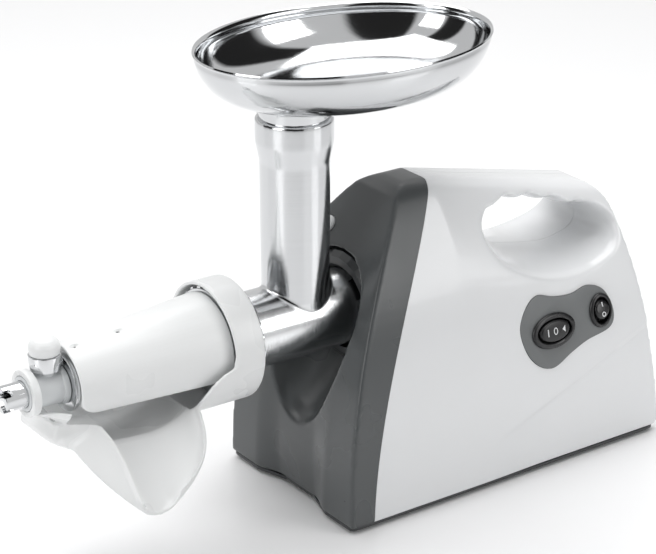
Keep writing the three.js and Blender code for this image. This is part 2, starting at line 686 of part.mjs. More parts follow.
function strainerSolid() {
  const { rearRadius, frontRadius, frontX, sheet } = strainer;
  return profileX([
    [rearRadius - sheet, flangeX], [barrel.radius - 0.8, flangeX], [barrel.radius - 0.8, flangeX - 2.5],
    [rearRadius, flangeX - 2.5], [rearRadius, flangeX - 5], [frontRadius, frontX], [frontRadius + 4, frontX],
    [frontRadius + 4, frontX - 3], [frontRadius - sheet - 3, frontX - 3], [frontRadius - sheet - 3, frontX - 1],
    [frontRadius - sheet, frontX], [rearRadius - sheet, flangeX - 5], [rearRadius - sheet, flangeX],
  ], 24);
}

function ringNutSolid() {
  const { radius, frontX, rearX, ribs } = ringNut;
  const thread = barrel.radius + runningGap;
  const lipX = flangeX - 2.5 - fitGap;
  const ring = profileX([
    [strainer.rearRadius + 0.6, frontX], [radius - 2, frontX], [radius - 2, rearX], [thread, rearX], [thread, lipX],
    [strainer.rearRadius + 0.6, lipX], [strainer.rearRadius + 0.6, frontX],
  ], 24);
  const bars = Array.from({ length: ribs }, (_, i) => {
    const angle = (2 * Math.PI * i) / ribs;
    const bar = new THREE.BoxGeometry(rearX - frontX, 4, 6).translate((frontX + rearX) / 2, 0, radius - 3);
    return solid(bar.rotateX(angle).translate(0, 0, axisZ));
  });
  return join(ring, ...bars);
}

function hoodSolid() {
  const { rearRadius, frontRadius, rearX, frontX, sheet, edgeBelowAxis } = hood;
  const cone = profileX([
    [rearRadius - sheet, rearX], [rearRadius, rearX], [frontRadius, frontX], [frontRadius - sheet, frontX],
    [rearRadius - sheet, rearX],
  ], 32);
  const webX = strainer.frontX + 1;
  const webs = [
    ringX(strainer.rearRadius, rearRadius - 1, rearX - 3, rearX - 0.5, axisZ, 0, 24),
    ringX(strainer.frontRadius + 1.5, frontRadius - 0.8, webX, webX + 2.5, axisZ, 0, 32),
  ];
  const kept = block(frontX - 5, rearX + 5, -60, 60, axisZ - edgeBelowAxis, axisZ + 60);
  return join(cone, ...webs).intersect(kept);
}

// the juice trough: a collar over the ring nut, an open chute and a ring on the snout
function chuteSection(y, inset) {
  const out = Math.min(Math.max(-y, 0) / chute.reach, 1);
  const farX = Math.max(chute.farX, chute.lipFarX - 72 * (1 - out) ** 4.8) + inset;
  const nearX = chute.nearX + (chute.lipNearX - chute.nearX) * out ** 5.5 - inset;
  const rimZ = Math.min(chute.rimZ, axisZ + 2 - chute.reach * out);
  const depth = chute.depth + (chute.lipDepth - chute.depth) * out - inset;
  const [middle, half] = [(farX + nearX) / 2, (nearX - farX) / 2];
  const bellyX = chute.bellyX + 33 * out ** 2.2 + inset;
  const belly = Math.max(middle - half * Math.SQRT1_2 - bellyX, 0);
  const steps = 12;
  const ring = Array.from({ length: steps + 1 }, (_, i) => {
    const turn = (Math.PI * i) / steps;
    const bulge = i * 2 < steps ? belly * Math.sin(2 * turn) ** 2 : 0;
    return new THREE.Vector3(middle - half * Math.cos(turn) - bulge, y, rimZ - depth * Math.sin(turn));
  });
  const lid = [nearX, farX].map((x) => new THREE.Vector3(x, y, rimZ + 0.1 + inset * 4));
  return [...ring, ...lid];
}

function chuteSolid(inset, extra) {
  const ends = [chute.innerY - inset, 10, -12, -24, -36, -48, -60, -chute.reach - extra];
  return loft(ends.map((y) => chuteSection(y, inset)));
}

function troughSolid() {
  const { radius, wall, frontX, rearX, skirtX } = collar;
  const band = profileX([
    [radius - wall, rearX], [radius - 0.6, rearX], [radius, rearX - 1.5], [radius, frontX + 1.5],
    [radius - 0.6, frontX], [radius - wall, frontX], [radius - wall, rearX],
  ], 32);
  const edge = new THREE.Shape();
  edge.moveTo(frontX + 5, 60);
  edge.lineTo(skirtX, 60);
  edge.lineTo(skirtX, axisZ - 24);
  edge.bezierCurveTo(skirtX + 2, axisZ - 10, frontX - 11, axisZ - 4, frontX, axisZ + 4);
  edge.lineTo(frontX + 5, axisZ + 4);
  const sleeve = ringX(radius - wall, radius, skirtX, frontX + 4, axisZ, 0, 32);
  const skirt = sleeve.intersect(plateY(edge, -60, 60, 8));
  const noseRing = ringX(snout.radius + fitGap, snout.radius + 4.3, snout.frontX + 0.4, snout.frontX + 6.2);
  const strut = block(snout.frontX + 1, -200, -7, 7, axisZ - 38, axisZ - snout.radius - 2.4);
  const drain = rodX(radius - wall, skirtX - 3, frontX);
  const trough = cut(join(chuteSolid(0, 0), strut), chuteSolid(chute.wall, 12), drain);
  return join(trough, band, skirt, noseRing);
}

function snoutSolid() {
  const rearX = strainer.frontX - 3 - fitGap;
  const body = profileX([
    [0, snout.frontX], [snout.radius, snout.frontX], [snout.radius, rearX - 4],
    [snout.radius + 1.6, rearX - 4], [snout.radius + 1.6, rearX], [0, rearX],
  ], 20);
  const boss = solid(alongZ(turnedRod(6.5, axisZ, axisZ + snout.radius + 1.5, 16)).translate(knob.x, 0, 0));
  const bore = rodX(regulator.radius + fitGap, snout.frontX - 5, rearX + 5);
  const threadHole = solid(alongZ(turnedRod(3.3, axisZ, axisZ + 30, 12)).translate(knob.x, 0, 0));
  return cut(join(body, boss), bore, threadHole);
}

function regulatorSolid() {
  const { radius, bore, frontX, rearX } = regulator;
  const pipe = ringX(bore, radius, frontX, rearX, axisZ, 0, 24);
  const slots = [0, 1].map((i) => {
    const slot = new THREE.BoxGeometry(12, 40, 5.5).translate(frontX, 0, 0);
    return solid(slot.rotateX((i * Math.PI) / 2 + Math.PI / 4).translate(0, 0, axisZ));
  });
  return cut(pipe, ...slots);
}

add('ring_nut', ringNutSolid(), aluminium, 0.15, 1);
add('strainer', strainerSolid(), steel, 0.25, 1);
add('juicer_hood', hoodSolid(), white, 0.25);
add('juice_trough', troughSolid(), white, 0.25);
add('snout', snoutSolid(), '#d9dbdc', 0.35);
add('regulator', regulatorSolid(), steel, 0.2, 1);

const skirtZ = axisZ + snout.radius + 2;
const capZ = skirtZ + knob.skirtHeight;
const knobSkirt = alongZ(turned([
  [0, regulator.radius + axisZ + 0.4], [3, regulator.radius + axisZ + 0.4], [3, skirtZ], [knob.radius, skirtZ],
  [knob.radius, capZ - 1], [knob.radius - 1, capZ], [0, capZ],
], 20));
add('clamp_knob_skirt', knobSkirt, steel, 0.1, 1).position.x = knob.x;
const knobCap = alongZ(turned([
  [0, capZ + fitGap], [knob.radius - 1, capZ + fitGap], [knob.radius - 0.6, capZ + 5], [knob.radius - 3, capZ + 10],
  [knob.radius - 7, capZ + knob.capHeight - 0.6], [0, capZ + knob.capHeight],
], 20));
add('clamp_knob_cap', knobCap, white, 0.25).position.x = knob.x;

// ---------------------------------------------------------------- gear train

const centres = stages.map(({ teeth, follower, module }) => ((teeth + follower) * module) / 2);
const outputAxis = new THREE.Vector2(0, axisZ);
const motorAxis = new THREE.Vector2(0, motor.axisZ);
const secondAxis = new THREE.Vector2(Math.sin(Math.PI / 6), -Math.cos(Math.PI / 6))
  .multiplyScalar(centres[2]).add(outputAxis);

// the first axle lies where circles about the motor and the second axle cross
function crossing(a, ra, b, rb) {
  const span = b.clone().sub(a);
  const distance = span.length();
  const along = (ra ** 2 - rb ** 2 + distance ** 2) / (2 * distance);
  const off = Math.sqrt(ra ** 2 - along ** 2);
  const unit = span.divideScalar(distance);
  return new THREE.Vector2(a.x + unit.x * along - unit.y * off, a.y + unit.y * along + unit.x * off);
}
const firstAxis = crossing(motorAxis, centres[0], secondAxis, centres[1]);

// toothed outline about (0, 0); the middle of a tooth, or of a gap, points along `aim`
function gearOutline(teeth, module, aim, gapAtAim) {
  const pitchAngle = (2 * Math.PI) / teeth;
  const start = aim + (gapAtAim ? pitchAngle / 2 : 0);
  const pitchRadius = (teeth * module) / 2;
  const [root, tip] = [pitchRadius - 1.15 * module, pitchRadius + 0.8 * module];
  const points = [];
  for (let i = 0; i < teeth; i++) {
    const middle = start + i * pitchAngle;
    for (const [radius, share] of [[root, -0.29], [tip, -0.1], [tip, 0.1], [root, 0.29]]) {
      const angle = middle + share * pitchAngle;
      points.push(new THREE.Vector2(radius * Math.cos(angle), radius * Math.sin(angle)));
    }
  }
  return points;
}

function gearSolid(teeth, module, axis, aim, gapAtAim, x0, x1) {
  const points = gearOutline(teeth, module, aim, gapAtAim).map((point) => point.add(axis));
  return plateX(points, x0, x1);
}

const heading = (from, to) => Math.atan2(to.y - from.y, to.x - from.x);
const [stageA, stageB, stageC] = stages;
const boredOut = (body, axis, radius) => cut(body, rodX(radius, 0, 300, axis.y, axis.x, 16));

const outputShaft = cut(
  join(rodX(shaft.outer, barrel.rearX + 1.5, 92), rodX(6, 91, gearFaces.lidX + gearFaces.lidThickness)),
  plateX(ovalOutline(shaft.hexRadius + 0.4, shaft.hexRadius + 0.4, 6, 0, axisZ), 50, barrel.rearX + 15));
add('output_shaft', outputShaft, steel, 0.3, 1);
const outputAim = heading(outputAxis, secondAxis);
const outputWheel = gearSolid(
  stageC.follower, stageC.module, outputAxis, outputAim, true, stageC.x, stageC.x + stageC.width);
add('output_gear', boredOut(outputWheel, outputAxis, shaft.outer + fitGap), '#8d9093', 0.4, 1);
add('output_bush', ringX(shaft.outer + runningGap, shaft.outer + 4, 64.5, 71.5), '#b08d4a', 0.4, 1);

function cluster(stageIn, stageOut, axis, from, to) {
  const wheel = gearSolid(
    stageIn.follower, stageIn.module, axis, heading(axis, from), true, stageIn.x, stageIn.x + stageIn.width);
  const pinion = gearSolid(
    stageOut.teeth, stageOut.module, axis, heading(axis, to), false, stageOut.x - 0.7, stageIn.x + 0.2);
  return boredOut(join(wheel, pinion), axis, axlePin + runningGap / 2);
}

add('second_gear', cluster(stageB, stageC, secondAxis, firstAxis, outputAxis), '#8d9093', 0.4, 1);
add('first_gear', cluster(stageA, stageB, firstAxis, motorAxis, secondAxis), '#e6e0cf', 0.5);
const [pinFrom, pinTo] = [gearFaces.caseX + gearFaces.wall + fitGap, gearFaces.lidX - fitGap];
add('second_gear_pin', rodX(axlePin, pinFrom, pinTo, secondAxis.y, secondAxis.x, 16), steel, 0.3, 1);
add('first_gear_pin', rodX(axlePin, pinFrom, pinTo, firstAxis.y, firstAxis.x, 16), steel, 0.3, 1);

const caseOutline = (grow) => beltOutline(0, axisZ, 35 + grow, 8, 97, 45 + grow);
const screwPlaces = [[-34, 152], [51, 125], [-10, 50]];

function gearboxCase() {
  const { caseX, lidX, wall } = gearFaces;
  const posts = screwPlaces.map(([y, z]) => rodX(4.5, caseX, lidX - fitGap, z, y, 8));
  const holes = screwPlaces.map(([y, z]) => rodX(1.9, lidX - 18, lidX + 5, z, y, 8));
  const hollow = plateX(caseOutline(0), caseX + wall, lidX + 5);
  const walls = cut(plateX(caseOutline(wall), caseX, lidX - fitGap), hollow);
  const bushHole = rodX(shaft.outer + 4 + fitGap, caseX - 5, caseX + 20);
  return cut(join(walls, ...posts), bushHole, ...holes);
}

function gearboxLid() {
  const { lidX, lidThickness, wall } = gearFaces;
  const ears = screwPlaces.map(([y, z]) => rodX(4.5, lidX, lidX + lidThickness, z, y, 8));
  const holes = screwPlaces.map(([y, z]) => rodX(1.9, lidX - 5, lidX + 10, z, y, 8));
  const plate = join(plateX(caseOutline(wall), lidX, lidX + lidThickness), ...ears);
  const shaftHole = rodX(6 + runningGap, lidX - 5, lidX + 10);
  const pinionHole = rodX(7, lidX - 5, lidX + 10, motor.axisZ);
  return cut(plate, ...holes, shaftHole, pinionHole);
}

add('gearbox_case', gearboxCase(), '#9a9da0', 0.5, 1);
add('gearbox_lid', gearboxLid(), '#9a9da0', 0.5, 1);
screwPlaces.forEach(([y, z], i) => {
  const headX = gearFaces.lidX + gearFaces.lidThickness + fitGap;
  const screw = alongX(turned([
    [0, headX - 18], [1.5, headX - 17], [1.5, headX], [3.2, headX], [3.2, headX + 2.2], [0, headX + 2.2],
  ], 8));
  add(`gearbox_screw_${i + 1}`, screw, steel, 0.35, 1).position.set(0, y, z);
});

// ---------------------------------------------------------------- motor

const coreEnd = motor.coreX + motor.coreLength;
const motorRod = (radius, from, to, segments = 12) => rodX(radius, from, to, motor.axisZ, 0, segments);
const frame = (halfY, halfZ, round) => outline([[-halfY, -halfZ, round], [halfY, -halfZ, round],
  [halfY, halfZ, round], [-halfY, halfZ, round]].map(([y, z, r]) => [y, z + motor.axisZ, r]));

function statorCore() {
  const { coreX, halfWidth, halfHeight, rotorRadius } = motor;
  const body = plateX(frame(halfWidth, halfHeight, 8), coreX, coreEnd);
  const window = plateX(frame(halfWidth - 7, halfHeight - 7, 6), coreX - 5, coreEnd + 5);
  const poles = block(coreX, coreEnd, -15, 15, motor.axisZ - halfHeight + 6, motor.axisZ + halfHeight - 6);
  return cut(join(cut(body, window), poles), motorRod(rotorRadius + 1, coreX - 5, coreEnd + 5, 20));
}

function fieldCoil(side) {
  const [near, far] = [23.5, 29.5].map((z) => motor.axisZ + side * z).sort((a, b) => a - b);
  const [startX, endX] = [motor.coreX - 6, coreEnd + 6];
  const loop = outline([[startX, -25, 6], [endX, -25, 6], [endX, 25, 6], [startX, 25, 6]]);
  return cut(plateZ(loop, near, far, 3), block(motor.coreX - 0.4, coreEnd + 0.4, -15.4, 15.4, 0, 200));
}

function bracket(x) {
  const thickness = motor.bracketThickness;
  const plate = plateX(frame(30, 24, 8), x, x + thickness);
  const legs = [-1, 1].map((side) => block(
    x, x + thickness, side * 23 - 6, side * 23 + 6, footHeight + baseThickness + fitGap, motor.axisZ - 10));
  return cut(join(plate, ...legs), motorRod(8 + fitGap, x - 5, x + 10));
}

add('stator_core', statorCore(), '#77797c', 0.5, 1);
add('field_coil_upper', fieldCoil(1), '#9c5526', 0.45, 0.6);
add('field_coil_lower', fieldCoil(-1), '#9c5526', 0.45, 0.6);
add('motor_bracket_front', bracket(motor.frontBracketX), '#9a9da0', 0.5, 1);
add('motor_bracket_rear', bracket(motor.rearBracketX), '#9a9da0', 0.5, 1);
for (const [end, x] of [['front', motor.frontBracketX], ['rear', motor.rearBracketX]]) {
  add(`motor_bearing_${end}`, ringX(motor.shaftRadius + 0.25, 8, x - 1, x + 5, motor.axisZ, 0, 12), steel, 0.25, 1);
}

const pinionX = stageA.x - 0.5;
const pinionBore = 2;
add('armature_shaft', join(
  motorRod(motor.shaftRadius, pinionX + 7.5, 226), motorRod(pinionBore - fitGap, pinionX + 0.2, pinionX + 8),
), steel, 0.25, 1);
add('armature_core', solid(onAxis(alongX(turned([
  [3.3, motor.coreX - 9], [12, motor.coreX - 9], [17, motor.coreX - 3], [17, motor.coreX],
  [motor.rotorRadius, motor.coreX], [motor.rotorRadius, coreEnd], [17, coreEnd], [17, coreEnd + 3],
  [12, coreEnd + 6], [3.3, coreEnd + 6], [3.3, motor.coreX - 9],
], 16)), motor.axisZ)), '#8a5a34', 0.5, 0.7);
const pinionTeeth = gearSolid(
  stageA.teeth, stageA.module, motorAxis, heading(motorAxis, firstAxis), false, pinionX, pinionX + 7);
add('motor_pinion', boredOut(pinionTeeth, motorAxis, pinionBore), steel, 0.3, 1);
add('commutator', ringX(3.3, 11, coreEnd + 7, coreEnd + 20, motor.axisZ, 0, 12), '#b06a3a', 0.3, 1);
for (const [side, way] of [['control', -1], ['plain', 1]]) {
  const [near, far] = [11.4, 29].map((y) => way * y).sort((a, b) => a - b);
  add(`brush_holder_${side}`, block(coreEnd + 9, coreEnd + 18, near, far, motor.axisZ - 5, motor.axisZ + 5),
    '#c2a052', 0.4, 1);
}

function coolingFan() {
  const hubX = motor.rearBracketX + 9;
  const disc = ringX(3.3, 30, hubX, hubX + 2, motor.axisZ);
  const hub = ringX(3.3, 7, hubX, hubX + 10, motor.axisZ, 0, 16);
  const blades = Array.from({ length: 7 }, (_, i) => {
    const blade = new THREE.BoxGeometry(8, 22, 1.4).translate(hubX + 5.5, 17.5, 0);
    return solid(blade.rotateX((2 * Math.PI * i) / 7).translate(0, 0, motor.axisZ));
  });
  return join(disc, hub, ...blades);
}
add('cooling_fan', coolingFan(), '#2e3032', 0.5);

// ---------------------------------------------------------------- origin at the bottom centre

machine.updateMatrixWorld(true);
const extent = new THREE.Box3().setFromObject(machine, true);
const middle = extent.getCenter(new THREE.Vector3());
machine.position.set(-middle.x, -middle.y, -extent.min.z);

const grinder = new THREE.Group();
grinder.add(machine);

export default grinder;
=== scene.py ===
import math
import bmesh
import bpy
from mathutils import Matrix, Vector


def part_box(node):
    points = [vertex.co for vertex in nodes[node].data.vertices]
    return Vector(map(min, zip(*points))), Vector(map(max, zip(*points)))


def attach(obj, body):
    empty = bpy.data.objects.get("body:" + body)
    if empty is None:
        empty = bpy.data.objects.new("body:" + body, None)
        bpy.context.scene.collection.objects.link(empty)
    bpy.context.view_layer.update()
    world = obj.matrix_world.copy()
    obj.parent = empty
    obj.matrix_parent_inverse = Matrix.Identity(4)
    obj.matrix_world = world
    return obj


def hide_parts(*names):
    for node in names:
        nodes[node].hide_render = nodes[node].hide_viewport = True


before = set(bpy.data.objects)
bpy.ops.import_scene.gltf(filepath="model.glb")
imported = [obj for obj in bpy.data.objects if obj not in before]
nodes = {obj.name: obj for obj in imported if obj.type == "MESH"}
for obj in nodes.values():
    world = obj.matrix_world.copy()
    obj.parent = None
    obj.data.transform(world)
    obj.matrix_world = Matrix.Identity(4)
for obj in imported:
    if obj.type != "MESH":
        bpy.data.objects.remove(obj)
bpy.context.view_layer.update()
scene = bpy.context.scene
print("frame loaded")

# Pieces are modelled in millimetres with the feed tube's axis at x = 0, y = 0,
# and moved to the frame's metres when they are finished.
mm = 0.001
barrelZ = 142
knobX = -203
knobLow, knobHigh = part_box("clamp_knob_cap")
tubeX = (knobLow.x + knobHigh.x) / 2 - knobX * mm
toFrame = Matrix.Translation((tubeX, 0, 0)) @ Matrix.Scale(mm, 4)
alongX = Matrix.Rotation(math.radians(90), 4, "Y")
onBarrel = Matrix.Translation((0, 0, barrelZ)) @ alongX
gap = 0.3


# ---- modelling helpers

def objectFrom(bm, name="work"):
    mesh = bpy.data.meshes.new(name)
    bm.to_mesh(mesh)
    bm.free()
    obj = bpy.data.objects.new(name, mesh)
    scene.collection.objects.link(obj)
    return obj


def baked(obj):
    graph = bpy.context.evaluated_depsgraph_get()
    mesh = bpy.data.meshes.new_from_object(obj.evaluated_get(graph))
    obj.modifiers.clear()
    obj.data = mesh
    return obj


def copied(obj):
    twin = obj.copy()
    twin.data = obj.data.copy()
    scene.collection.objects.link(twin)
    return twin


def combined(obj, other, operation):
    step = obj.modifiers.new(operation, "BOOLEAN")
    step.operation = operation
    step.solver = "MANIFOLD"
    step.object = other
    baked(obj)
    bpy.data.objects.remove(other)
    return obj


def cut(obj, *others):
    for other in others:
        combined(obj, other, "DIFFERENCE")
    return obj


def join(obj, *others):
    for other in others:
        combined(obj, other, "UNION")
    return obj


def keep(obj, other):
    return combined(obj, other, "INTERSECT")


# rebuilds a solid as an even skin and relaxes it, which rounds every edge softly
def softened(obj, voxel, rounds):
    remesh = obj.modifiers.new("Skin", "REMESH")
    remesh.mode = "VOXEL"
    remesh.voxel_size = voxel
    relax = obj.modifiers.new("Relax", "SMOOTH")
    relax.factor = 0.5
    relax.iterations = rounds
    return baked(obj)


def moved(obj, matrix):
    obj.data.transform(matrix)
    if matrix.determinant() < 0:
        obj.data.flip_normals()
    return obj


def rounded(obj, width, segments=3, angle=35):
    edge = obj.modifiers.new("Edges", "BEVEL")
    edge.width = width
    edge.segments = segments
    edge.limit_method = "ANGLE"
    edge.angle_limit = math.radians(angle)
    return baked(obj)


# profile: (radius, height) pairs, closed on itself or ending on the axis
def turned(profile, soft=0.5, steps=72, matrix=onBarrel):
    bm = bmesh.new()
    ended = profile[0][0] == 0 and profile[-1][0] == 0
    line = [bm.verts.new((r, 0, h)) for r, h in profile]
    pairs = list(zip(line, line[1:])) + ([] if ended else [(line[-1], line[0])])
    for a, b in pairs:
        bm.edges.new((a, b))
    if soft:
        corners = line[1:-1] if ended else line
        bmesh.ops.bevel(bm, geom=corners, offset=soft, offset_type="OFFSET", segments=3, profile=0.5,
                        affect="VERTICES", clamp_overlap=True, material=-1)
    bmesh.ops.spin(bm, geom=bm.verts[:] + bm.edges[:], cent=(0, 0, 0), axis=(0, 0, 1),
                   angle=2 * math.pi, steps=steps, use_merge=True)
    bmesh.ops.remove_doubles(bm, verts=bm.verts, dist=1e-4)
    bmesh.ops.recalc_face_normals(bm, faces=bm.faces)
    bmesh.ops.transform(bm, matrix=matrix, verts=bm.verts)
    return objectFrom(bm)


def ring(inner, outer, start, end, soft=0.5, steps=72, matrix=onBarrel):
    return turned([(inner, start), (outer, start), (outer, end), (inner, end)], soft, steps, matrix)


def rod(radius, start, end, soft=0.5, steps=72, matrix=onBarrel):
    return turned([(0, start), (radius, start), (radius, end), (0, end)], soft, steps, matrix)


# skins closed rings of points, one extrusion for each ring
def lofted(rings):
    bm = bmesh.new()
    face = bm.faces.new([bm.verts.new(point) for point in rings[0]])
    for level, points in enumerate(rings[1:]):
        made = bmesh.ops.extrude_face_region(bm, geom=[face])["geom"]
        if level:
            bmesh.ops.delete(bm, geom=[face], context="FACES_ONLY")
        face = next(part for part in made if isinstance(part, bmesh.types.BMFace))
        for vert, point in zip(face.verts, points):
            vert.co = point
    bmesh.ops.recalc_face_normals(bm, faces=bm.faces)
    return objectFrom(bm)


# corners: (u, v, radius); the outline lies in XY and is given its depth along Z
def plate(corners, start, end, matrix=Matrix.Identity(4), steps=6):
    bm = bmesh.new()
    verts = [bm.verts.new((u, v, start)) for u, v, *_ in corners]
    face = bm.faces.new(verts)
    for vert, corner in zip(verts, corners):
        if len(corner) > 2 and corner[2] > 0:
            bmesh.ops.bevel(bm, geom=[vert], offset=corner[2], offset_type="OFFSET", segments=steps,
                            profile=0.5, affect="VERTICES", clamp_overlap=True, material=-1)
    face = bm.faces[:][0]
    made = bmesh.ops.extrude_face_region(bm, geom=[face])["geom"]
    top = [part for part in made if isinstance(part, bmesh.types.BMVert)]
    bmesh.ops.translate(bm, verts=top, vec=(0, 0, end - start))
    bmesh.ops.recalc_face_normals(bm, faces=bm.faces)
    bmesh.ops.transform(bm, matrix=matrix, verts=bm.verts)
    return objectFrom(bm)


def block(x0, x1, y0, y1, z0, z1, matrix=Matrix.Identity(4)):
    return plate([(x0, y0), (x1, y0), (x1, y1), (x0, y1)], z0, z1, matrix)


# a plate drawn in (x, z) and given its depth along y
sideways = Matrix.Rotation(math.radians(90), 4, "X")


# a closed curve through the points, as evenly bent as a spring
def smoothLoop(points, steps):
    loop = []
    count = len(points)
    for i in range(count):
        p0, p1, p2, p3 = (Vector(points[(i + k - 1) % count]) for k in range(4))
        for s in range(steps):
            t = s / steps
            loop.append(0.5 * ((2 * p1) + (p2 - p0) * t + (2 * p0 - 5 * p1 + 4 * p2 - p3) * t * t
                               + (3 * p1 - p0 - 3 * p2 + p3) * t ** 3))
    return loop


def ease(share):
    share = min(max(share, 0), 1)
    return share * share * (3 - 2 * share)


# a stack of ovals, closed at both ends: (half length, half width, height, centre x, centre y)
def ovalStack(levels, steps=64, matrix=Matrix.Identity(4)):
    rings = []
    for level in levels:
        a, b, z = level[:3]
        u, v = level[3:] if len(level) > 3 else (0, 0)
        angles = [2 * math.pi * i / steps for i in range(steps)]
        rings.append([(u + a * math.cos(t), v + b * math.sin(t), z) for t in angles])
    return moved(lofted(rings), matrix)


def finished(obj, name, body, replaced, material, angle=40):
    obj.name = name
    obj.data.name = name
    obj.data.transform(toFrame)
    obj.data.materials.clear()
    for coat in material if isinstance(material, list) else [material]:
        obj.data.materials.append(coat)
    obj.data.shade_smooth()
    obj.data.set_sharp_from_angle(angle=math.radians(angle))
    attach(obj, body)
    if replaced:
        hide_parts(*replaced)
    return obj


# ---- shader groups

def newGroup(name, inputs, outputs):
    group = bpy.data.node_groups.new(name, "ShaderNodeTree")
    for label, kind, value in inputs:
        socket = group.interface.new_socket(name=label, in_out="INPUT", socket_type=kind)
        socket.default_value = value
    for label, kind in outputs:
        group.interface.new_socket(name=label, in_out="OUTPUT", socket_type=kind)
    return group, group.nodes.new("NodeGroupInput"), group.nodes.new("NodeGroupOutput")


def mathNode(tree, operation, a, b=None):
    node = tree.nodes.new("ShaderNodeMath")
    node.operation = operation
    for socket, value in zip(node.inputs, (a, b)):
        if isinstance(value, bpy.types.NodeSocket):
            tree.links.new(value, socket)
        elif value is not None:
            socket.default_value = value
    return node.outputs[0]


def vectorNode(tree, operation, a, b=None, scale=None):
    node = tree.nodes.new("ShaderNodeVectorMath")
    node.operation = operation
    for socket, value in zip(node.inputs, (a, b)):
        if isinstance(value, bpy.types.NodeSocket):
            tree.links.new(value, socket)
        elif value is not None:
            socket.default_value = value
    if scale is not None:
        tree.links.new(scale, node.inputs["Scale"])
    return node.outputs["Value" if operation in ("DOT_PRODUCT", "LENGTH") else "Vector"]


def noiseNode(tree, vector, scale, detail=2.0):
    node = tree.nodes.new("ShaderNodeTexNoise")
    node.inputs["Detail"].default_value = detail
    tree.links.new(vector, node.inputs["Vector"])
    if isinstance(scale, bpy.types.NodeSocket):
        tree.links.new(scale, node.inputs["Scale"])
    else:
        node.inputs["Scale"].default_value = scale
    return node.outputs["Fac"]


def rangeNode(tree, value, low, high, start=0.0, end=1.0):
    node = tree.nodes.new("ShaderNodeMapRange")
    tree.links.new(value, node.inputs["Value"])
    for label, amount in (("From Min", start), ("From Max", end), ("To Min", low), ("To Max", high)):
        if isinstance(amount, bpy.types.NodeSocket):
            tree.links.new(amount, node.inputs[label])
        else:
            node.inputs[label].default_value = amount
    return node.outputs["Result"]


# moulded plastic: a very fine texture, and gloss that changes a little over the surface
def mouldedGroup():
    group, given, out = newGroup(
        "moulded surface",
        [("Grain", "NodeSocketFloat", 900.0), ("Depth", "NodeSocketFloat", 0.02),
         ("Smoothest", "NodeSocketFloat", 0.2), ("Roughest", "NodeSocketFloat", 0.3)],
        [("Roughness", "NodeSocketFloat"), ("Normal", "NodeSocketVector")])
    place = group.nodes.new("ShaderNodeTexCoord").outputs["Object"]
    patches = noiseNode(group, place, 14.0, 3.0)
    rough = rangeNode(group, patches, given.outputs["Smoothest"], given.outputs["Roughest"], 0.35, 0.65)
    grain = noiseNode(group, place, given.outputs["Grain"], 1.0)
    bump = group.nodes.new("ShaderNodeBump")
    bump.inputs["Distance"].default_value = 0.0002
    group.links.new(given.outputs["Depth"], bump.inputs["Strength"])
    group.links.new(grain, bump.inputs["Height"])
    group.links.new(rough, out.inputs["Roughness"])
    group.links.new(bump.outputs["Normal"], out.inputs["Normal"])
    return group


# turned metal: fine rings round an axis, so that its gloss spreads along the axis
def turnedMetalGroup():
    group, given, out = newGroup(
        "turned metal",
        [("Axis", "NodeSocketVector", (0, 0, 1)), ("Centre", "NodeSocketVector", (0, 0, 0)),
         ("Dish", "NodeSocketFloat", 0.0), ("Spread", "NodeSocketFloat", 0.3),
         ("Smoothest", "NodeSocketFloat", 0.1), ("Roughest", "NodeSocketFloat", 0.2)],
        [("Roughness", "NodeSocketFloat"), ("Normal", "NodeSocketVector"), ("Streak", "NodeSocketFloat")])
    place = group.nodes.new("ShaderNodeTexCoord").outputs["Object"]
    fromCentre = vectorNode(group, "SUBTRACT", place, given.outputs["Centre"])
    along = vectorNode(group, "DOT_PRODUCT", fromCentre, given.outputs["Axis"])
    onAxis = vectorNode(group, "SCALE", given.outputs["Axis"], scale=along)
    outwards = vectorNode(group, "SUBTRACT", fromCentre, onAxis)
    radius = vectorNode(group, "LENGTH", outwards)
    # rings are counted along the axis on a tube, and by radius on a dish
    onTube = mathNode(group, "MULTIPLY", along, mathNode(group, "SUBTRACT", 1.0, given.outputs["Dish"]))
    onDish = mathNode(group, "MULTIPLY", radius, given.outputs["Dish"])
    count = mathNode(group, "ADD", onTube, onDish)
    line = group.nodes.new("ShaderNodeCombineXYZ")
    group.links.new(count, line.inputs["X"])
    streak = noiseNode(group, line.outputs["Vector"], 5200.0, 3.0)
    lean = rangeNode(group, streak, -1.0, 1.0, 0.2, 0.8)
    amount = mathNode(group, "MULTIPLY", lean, given.outputs["Spread"])
    wayAxis = vectorNode(group, "SCALE", given.outputs["Axis"],
                         scale=mathNode(group, "SUBTRACT", 1.0, given.outputs["Dish"]))
    wayOut = vectorNode(group, "SCALE", vectorNode(group, "NORMALIZE", outwards), scale=given.outputs["Dish"])
    way = vectorNode(group, "ADD", wayAxis, wayOut)
    shift = vectorNode(group, "SCALE", way, scale=amount)
    normal = group.nodes.new("ShaderNodeNewGeometry").outputs["Normal"]
    tilted = vectorNode(group, "NORMALIZE", vectorNode(group, "ADD", normal, shift))
    patches = noiseNode(group, place, 22.0, 3.0)
    rough = rangeNode(group, patches, given.outputs["Smoothest"], given.outputs["Roughest"], 0.35, 0.65)
    group.links.new(rough, out.inputs["Roughness"])
    group.links.new(tilted, out.inputs["Normal"])
    group.links.new(streak, out.inputs["Streak"])
    return group


moulded = mouldedGroup()
turnedMetal = turnedMetalGroup()


def newMaterial(name):
    material = bpy.data.materials.new(name)
    material.use_nodes = True
    return material, material.node_tree, material.node_tree.nodes["Principled BSDF"]


